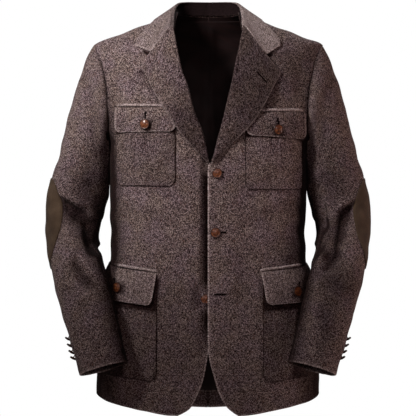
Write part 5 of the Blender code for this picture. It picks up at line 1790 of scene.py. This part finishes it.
def lining():
    """Dark lining with a fine grain along its threads."""
    material, tree, shader = new_material("lining", Roughness=0.62, Specular_IOR_Level=0.20)
    place = shader_node(tree, "UVMap", uv_map="weave").outputs["UV"]
    thread = shader_node(tree, "Mapping", {"Vector": place, "Scale": (2600.0, 900.0, 1.0)})
    grain = noise(tree, thread.outputs[0], 1.0)
    colour = colour_ramp(tree, noise(tree, place, 30.0), ((0.3, (0.0040, 0.0010, 0.0010)),
                                                          (0.7, (0.0095, 0.0026, 0.0024))))
    dress(tree, shader, colour, grain, 0.0001)
    return material


def button():
    """Mottled brown horn with a darker rim."""
    material, tree, shader = new_material("button", Coat_Weight=0.28, Coat_Roughness=0.10,
                                          Specular_IOR_Level=0.22)
    cloudy = noise(tree, object_place(tree), 210.0, Detail=3.0, Distortion=1.2)
    colour = colour_ramp(tree, cloudy, (
        (0.32, (0.016, 0.004, 0.002)), (0.46, (0.06, 0.015, 0.005)),
        (0.58, (0.115, 0.033, 0.01)), (0.74, (0.21, 0.075, 0.028))))
    rim = shader_node(tree, "MapRange", {"Value": attribute(tree, "edge"), "From Min": 0.78,
                                         "From Max": 0.94}, interpolation_type="SMOOTHSTEP")
    ringed = mix(tree, rim.outputs[0], colour, (0.020, 0.006, 0.004, 1))
    rough = shader_node(tree, "MapRange", {"Value": cloudy, "To Min": 0.40, "To Max": 0.55})
    tree.links.new(rough.outputs[0], shader.inputs["Roughness"])
    dress(tree, shader, ringed, cloudy, 0.0003)
    return material


def thread_material(name, dark, light, gloss):
    """Twisted thread between two shades."""
    material, tree, shader = new_material(name, Roughness=0.75, Specular_IOR_Level=gloss)
    twist = noise(tree, object_place(tree), 700.0)
    dress(tree, shader, colour_ramp(tree, twist, ((0.35, dark), (0.65, light))), twist, 0.0002)
    return material


LOOKS = {
    "tweed": tweed(), "suede": suede(), "lining": lining(), "button": button(),
    "neck_band": neck_band(),
    "dark_thread": thread_material("dark thread", (0.0015, 0.0008, 0.0008),
                                   (0.006, 0.003, 0.003), gloss=0.02),
    "suede_thread": thread_material("suede thread", (0.022, 0.013, 0.008),
                                    (0.060, 0.038, 0.024), gloss=0.3),
}


# ---- stage

FLOOR_RADIUS, FLOOR_HEIGHT, FLOOR_CORNERS = 1.9, -1.16, 64
WORLD_LIGHT = 0.03       # strength of the surroundings as light; the camera sees them white
LIGHT_COLUMNS = ("name", "place", "aim", "size", "cone", "power", "colour")
LIGHTS = (               # size is a disc's width or a spot's radius; a spot has a cone, in degrees
    ("key", (-1.5, -1.6, 1.1), (-0.18, -0.1, -0.05), 0.3, 27, 470, (1.0, 0.99, 0.98)),
    ("front light", (0.5, -2.6, 0.6), (0.07, -0.13, -0.36), 0.25, 16, 74, (1.0, 0.84, 0.84)),
    ("low light", (0.0, -3.6, 0.2), (0.0, 0.0, -0.42), 0.8, None, 12, (1.0, 0.72, 0.72)),
    ("left rim light", (-2.2, 0.3, 0.2), (-0.25, 0.0, -0.35), 0.8, None, 2.5, (1.0, 0.78, 0.72)),
    ("right rim light", (2.2, 0.3, -0.2), (0.25, 0.0, -0.4), 0.8, None, 21, (1.0, 0.74, 0.66)),
    ("back light", (0.4, 2.0, 1.9), (0.0, 0.0, -0.35), 1.4, None, 40, (1.0, 0.96, 0.94)),
)


def add_light(name, place, aim, size, cone, power, colour):
    """A soft disc, or a round spot whose pool fades from its middle to its rim."""
    data = bpy.data.lights.new(name, "SPOT" if cone else "AREA")
    if cone:
        data.shadow_soft_size = size
        data.spot_size = np.radians(cone)
        data.spot_blend = 1.0
    else:
        data.shape = "DISK"
        data.size = size
    data.energy = power
    data.color = colour
    light = add_object(name, data)
    light.location = place
    way = np.array(aim, float) - np.array(place, float)
    light.rotation_euler = Vector(way).to_track_quat("-Z", "Y").to_euler()


def stage():
    """Pale floor far below, white surroundings, soft light from the upper left."""
    mesh = bpy.data.meshes.new("floor")
    turn = steps(0, 2 * np.pi, FLOOR_CORNERS)
    rim = np.stack((FLOOR_RADIUS * np.cos(turn), FLOOR_RADIUS * np.sin(turn),
                    np.full(FLOOR_CORNERS, FLOOR_HEIGHT)), -1)
    mesh.from_pydata(rim.tolist(), [], [list(range(FLOOR_CORNERS))])
    floor = add_object("floor", mesh)
    material, tree, shader = new_material("pale floor", Roughness=0.9)
    cloud = noise(tree, object_place(tree), 3.0)
    colour = colour_ramp(tree, cloud, ((0.3, (0.80, 0.80, 0.79)), (0.7, (0.84, 0.84, 0.83))))
    tree.links.new(colour, shader.inputs["Base Color"])
    mesh.materials.append(material)

    world = bpy.data.worlds.new("white surroundings")
    world.use_nodes = True
    tree = world.node_tree
    tree.nodes.clear()
    path = shader_node(tree, "LightPath")
    seen = shader_node(tree, "Background", {"Color": (1, 1, 1, 1), "Strength": 1.0})
    lighting = shader_node(tree, "Background", {"Color": (1, 0.98, 0.96, 1), "Strength": WORLD_LIGHT})
    mixed = shader_node(tree, "MixShader", {0: path.outputs["Is Camera Ray"],
                                            1: lighting.outputs[0], 2: seen.outputs[0]})
    target = tree.nodes.new("ShaderNodeOutputWorld")
    tree.links.new(mixed.outputs[0], target.inputs["Surface"])
    bpy.context.scene.world = world

    for row in LIGHTS:
        add_light(**dict(zip(LIGHT_COLUMNS, row)))


PIXELS, PIXELS_PER_METRE, DISTANCE, EYE_HEIGHT, SENSOR = 416, 500, 4, -0.385, 36.0


def camera():
    """Level with the middle of the jacket, four metres in front of it."""
    data = bpy.data.cameras.new("camera")
    data.sensor_width = SENSOR
    data.lens = SENSOR * PIXELS_PER_METRE * DISTANCE / PIXELS       # at the origin's depth
    eye = add_object("camera", data)
    eye.location = (0.0, -DISTANCE, EYE_HEIGHT)
    eye.rotation_euler = (np.pi / 2, 0, 0)
    bpy.context.scene.camera = eye
    bpy.context.scene.view_settings.view_transform = "Standard"


# ---- build

for side in ("right", "left"):
    front_panel(side)
    back_panel(side)
    pockets(side)
    lapel(side)
    sleeve_piece("top_sleeve", side, TOP_SLEEVE, 86)
    sleeve_piece("under_sleeve", side, UNDER_SLEEVE, 56)
    elbow_patch(side)
    cuff_lining(side)
collar()
back_lining()
buttonholes()
buttons()
stage()
camera()
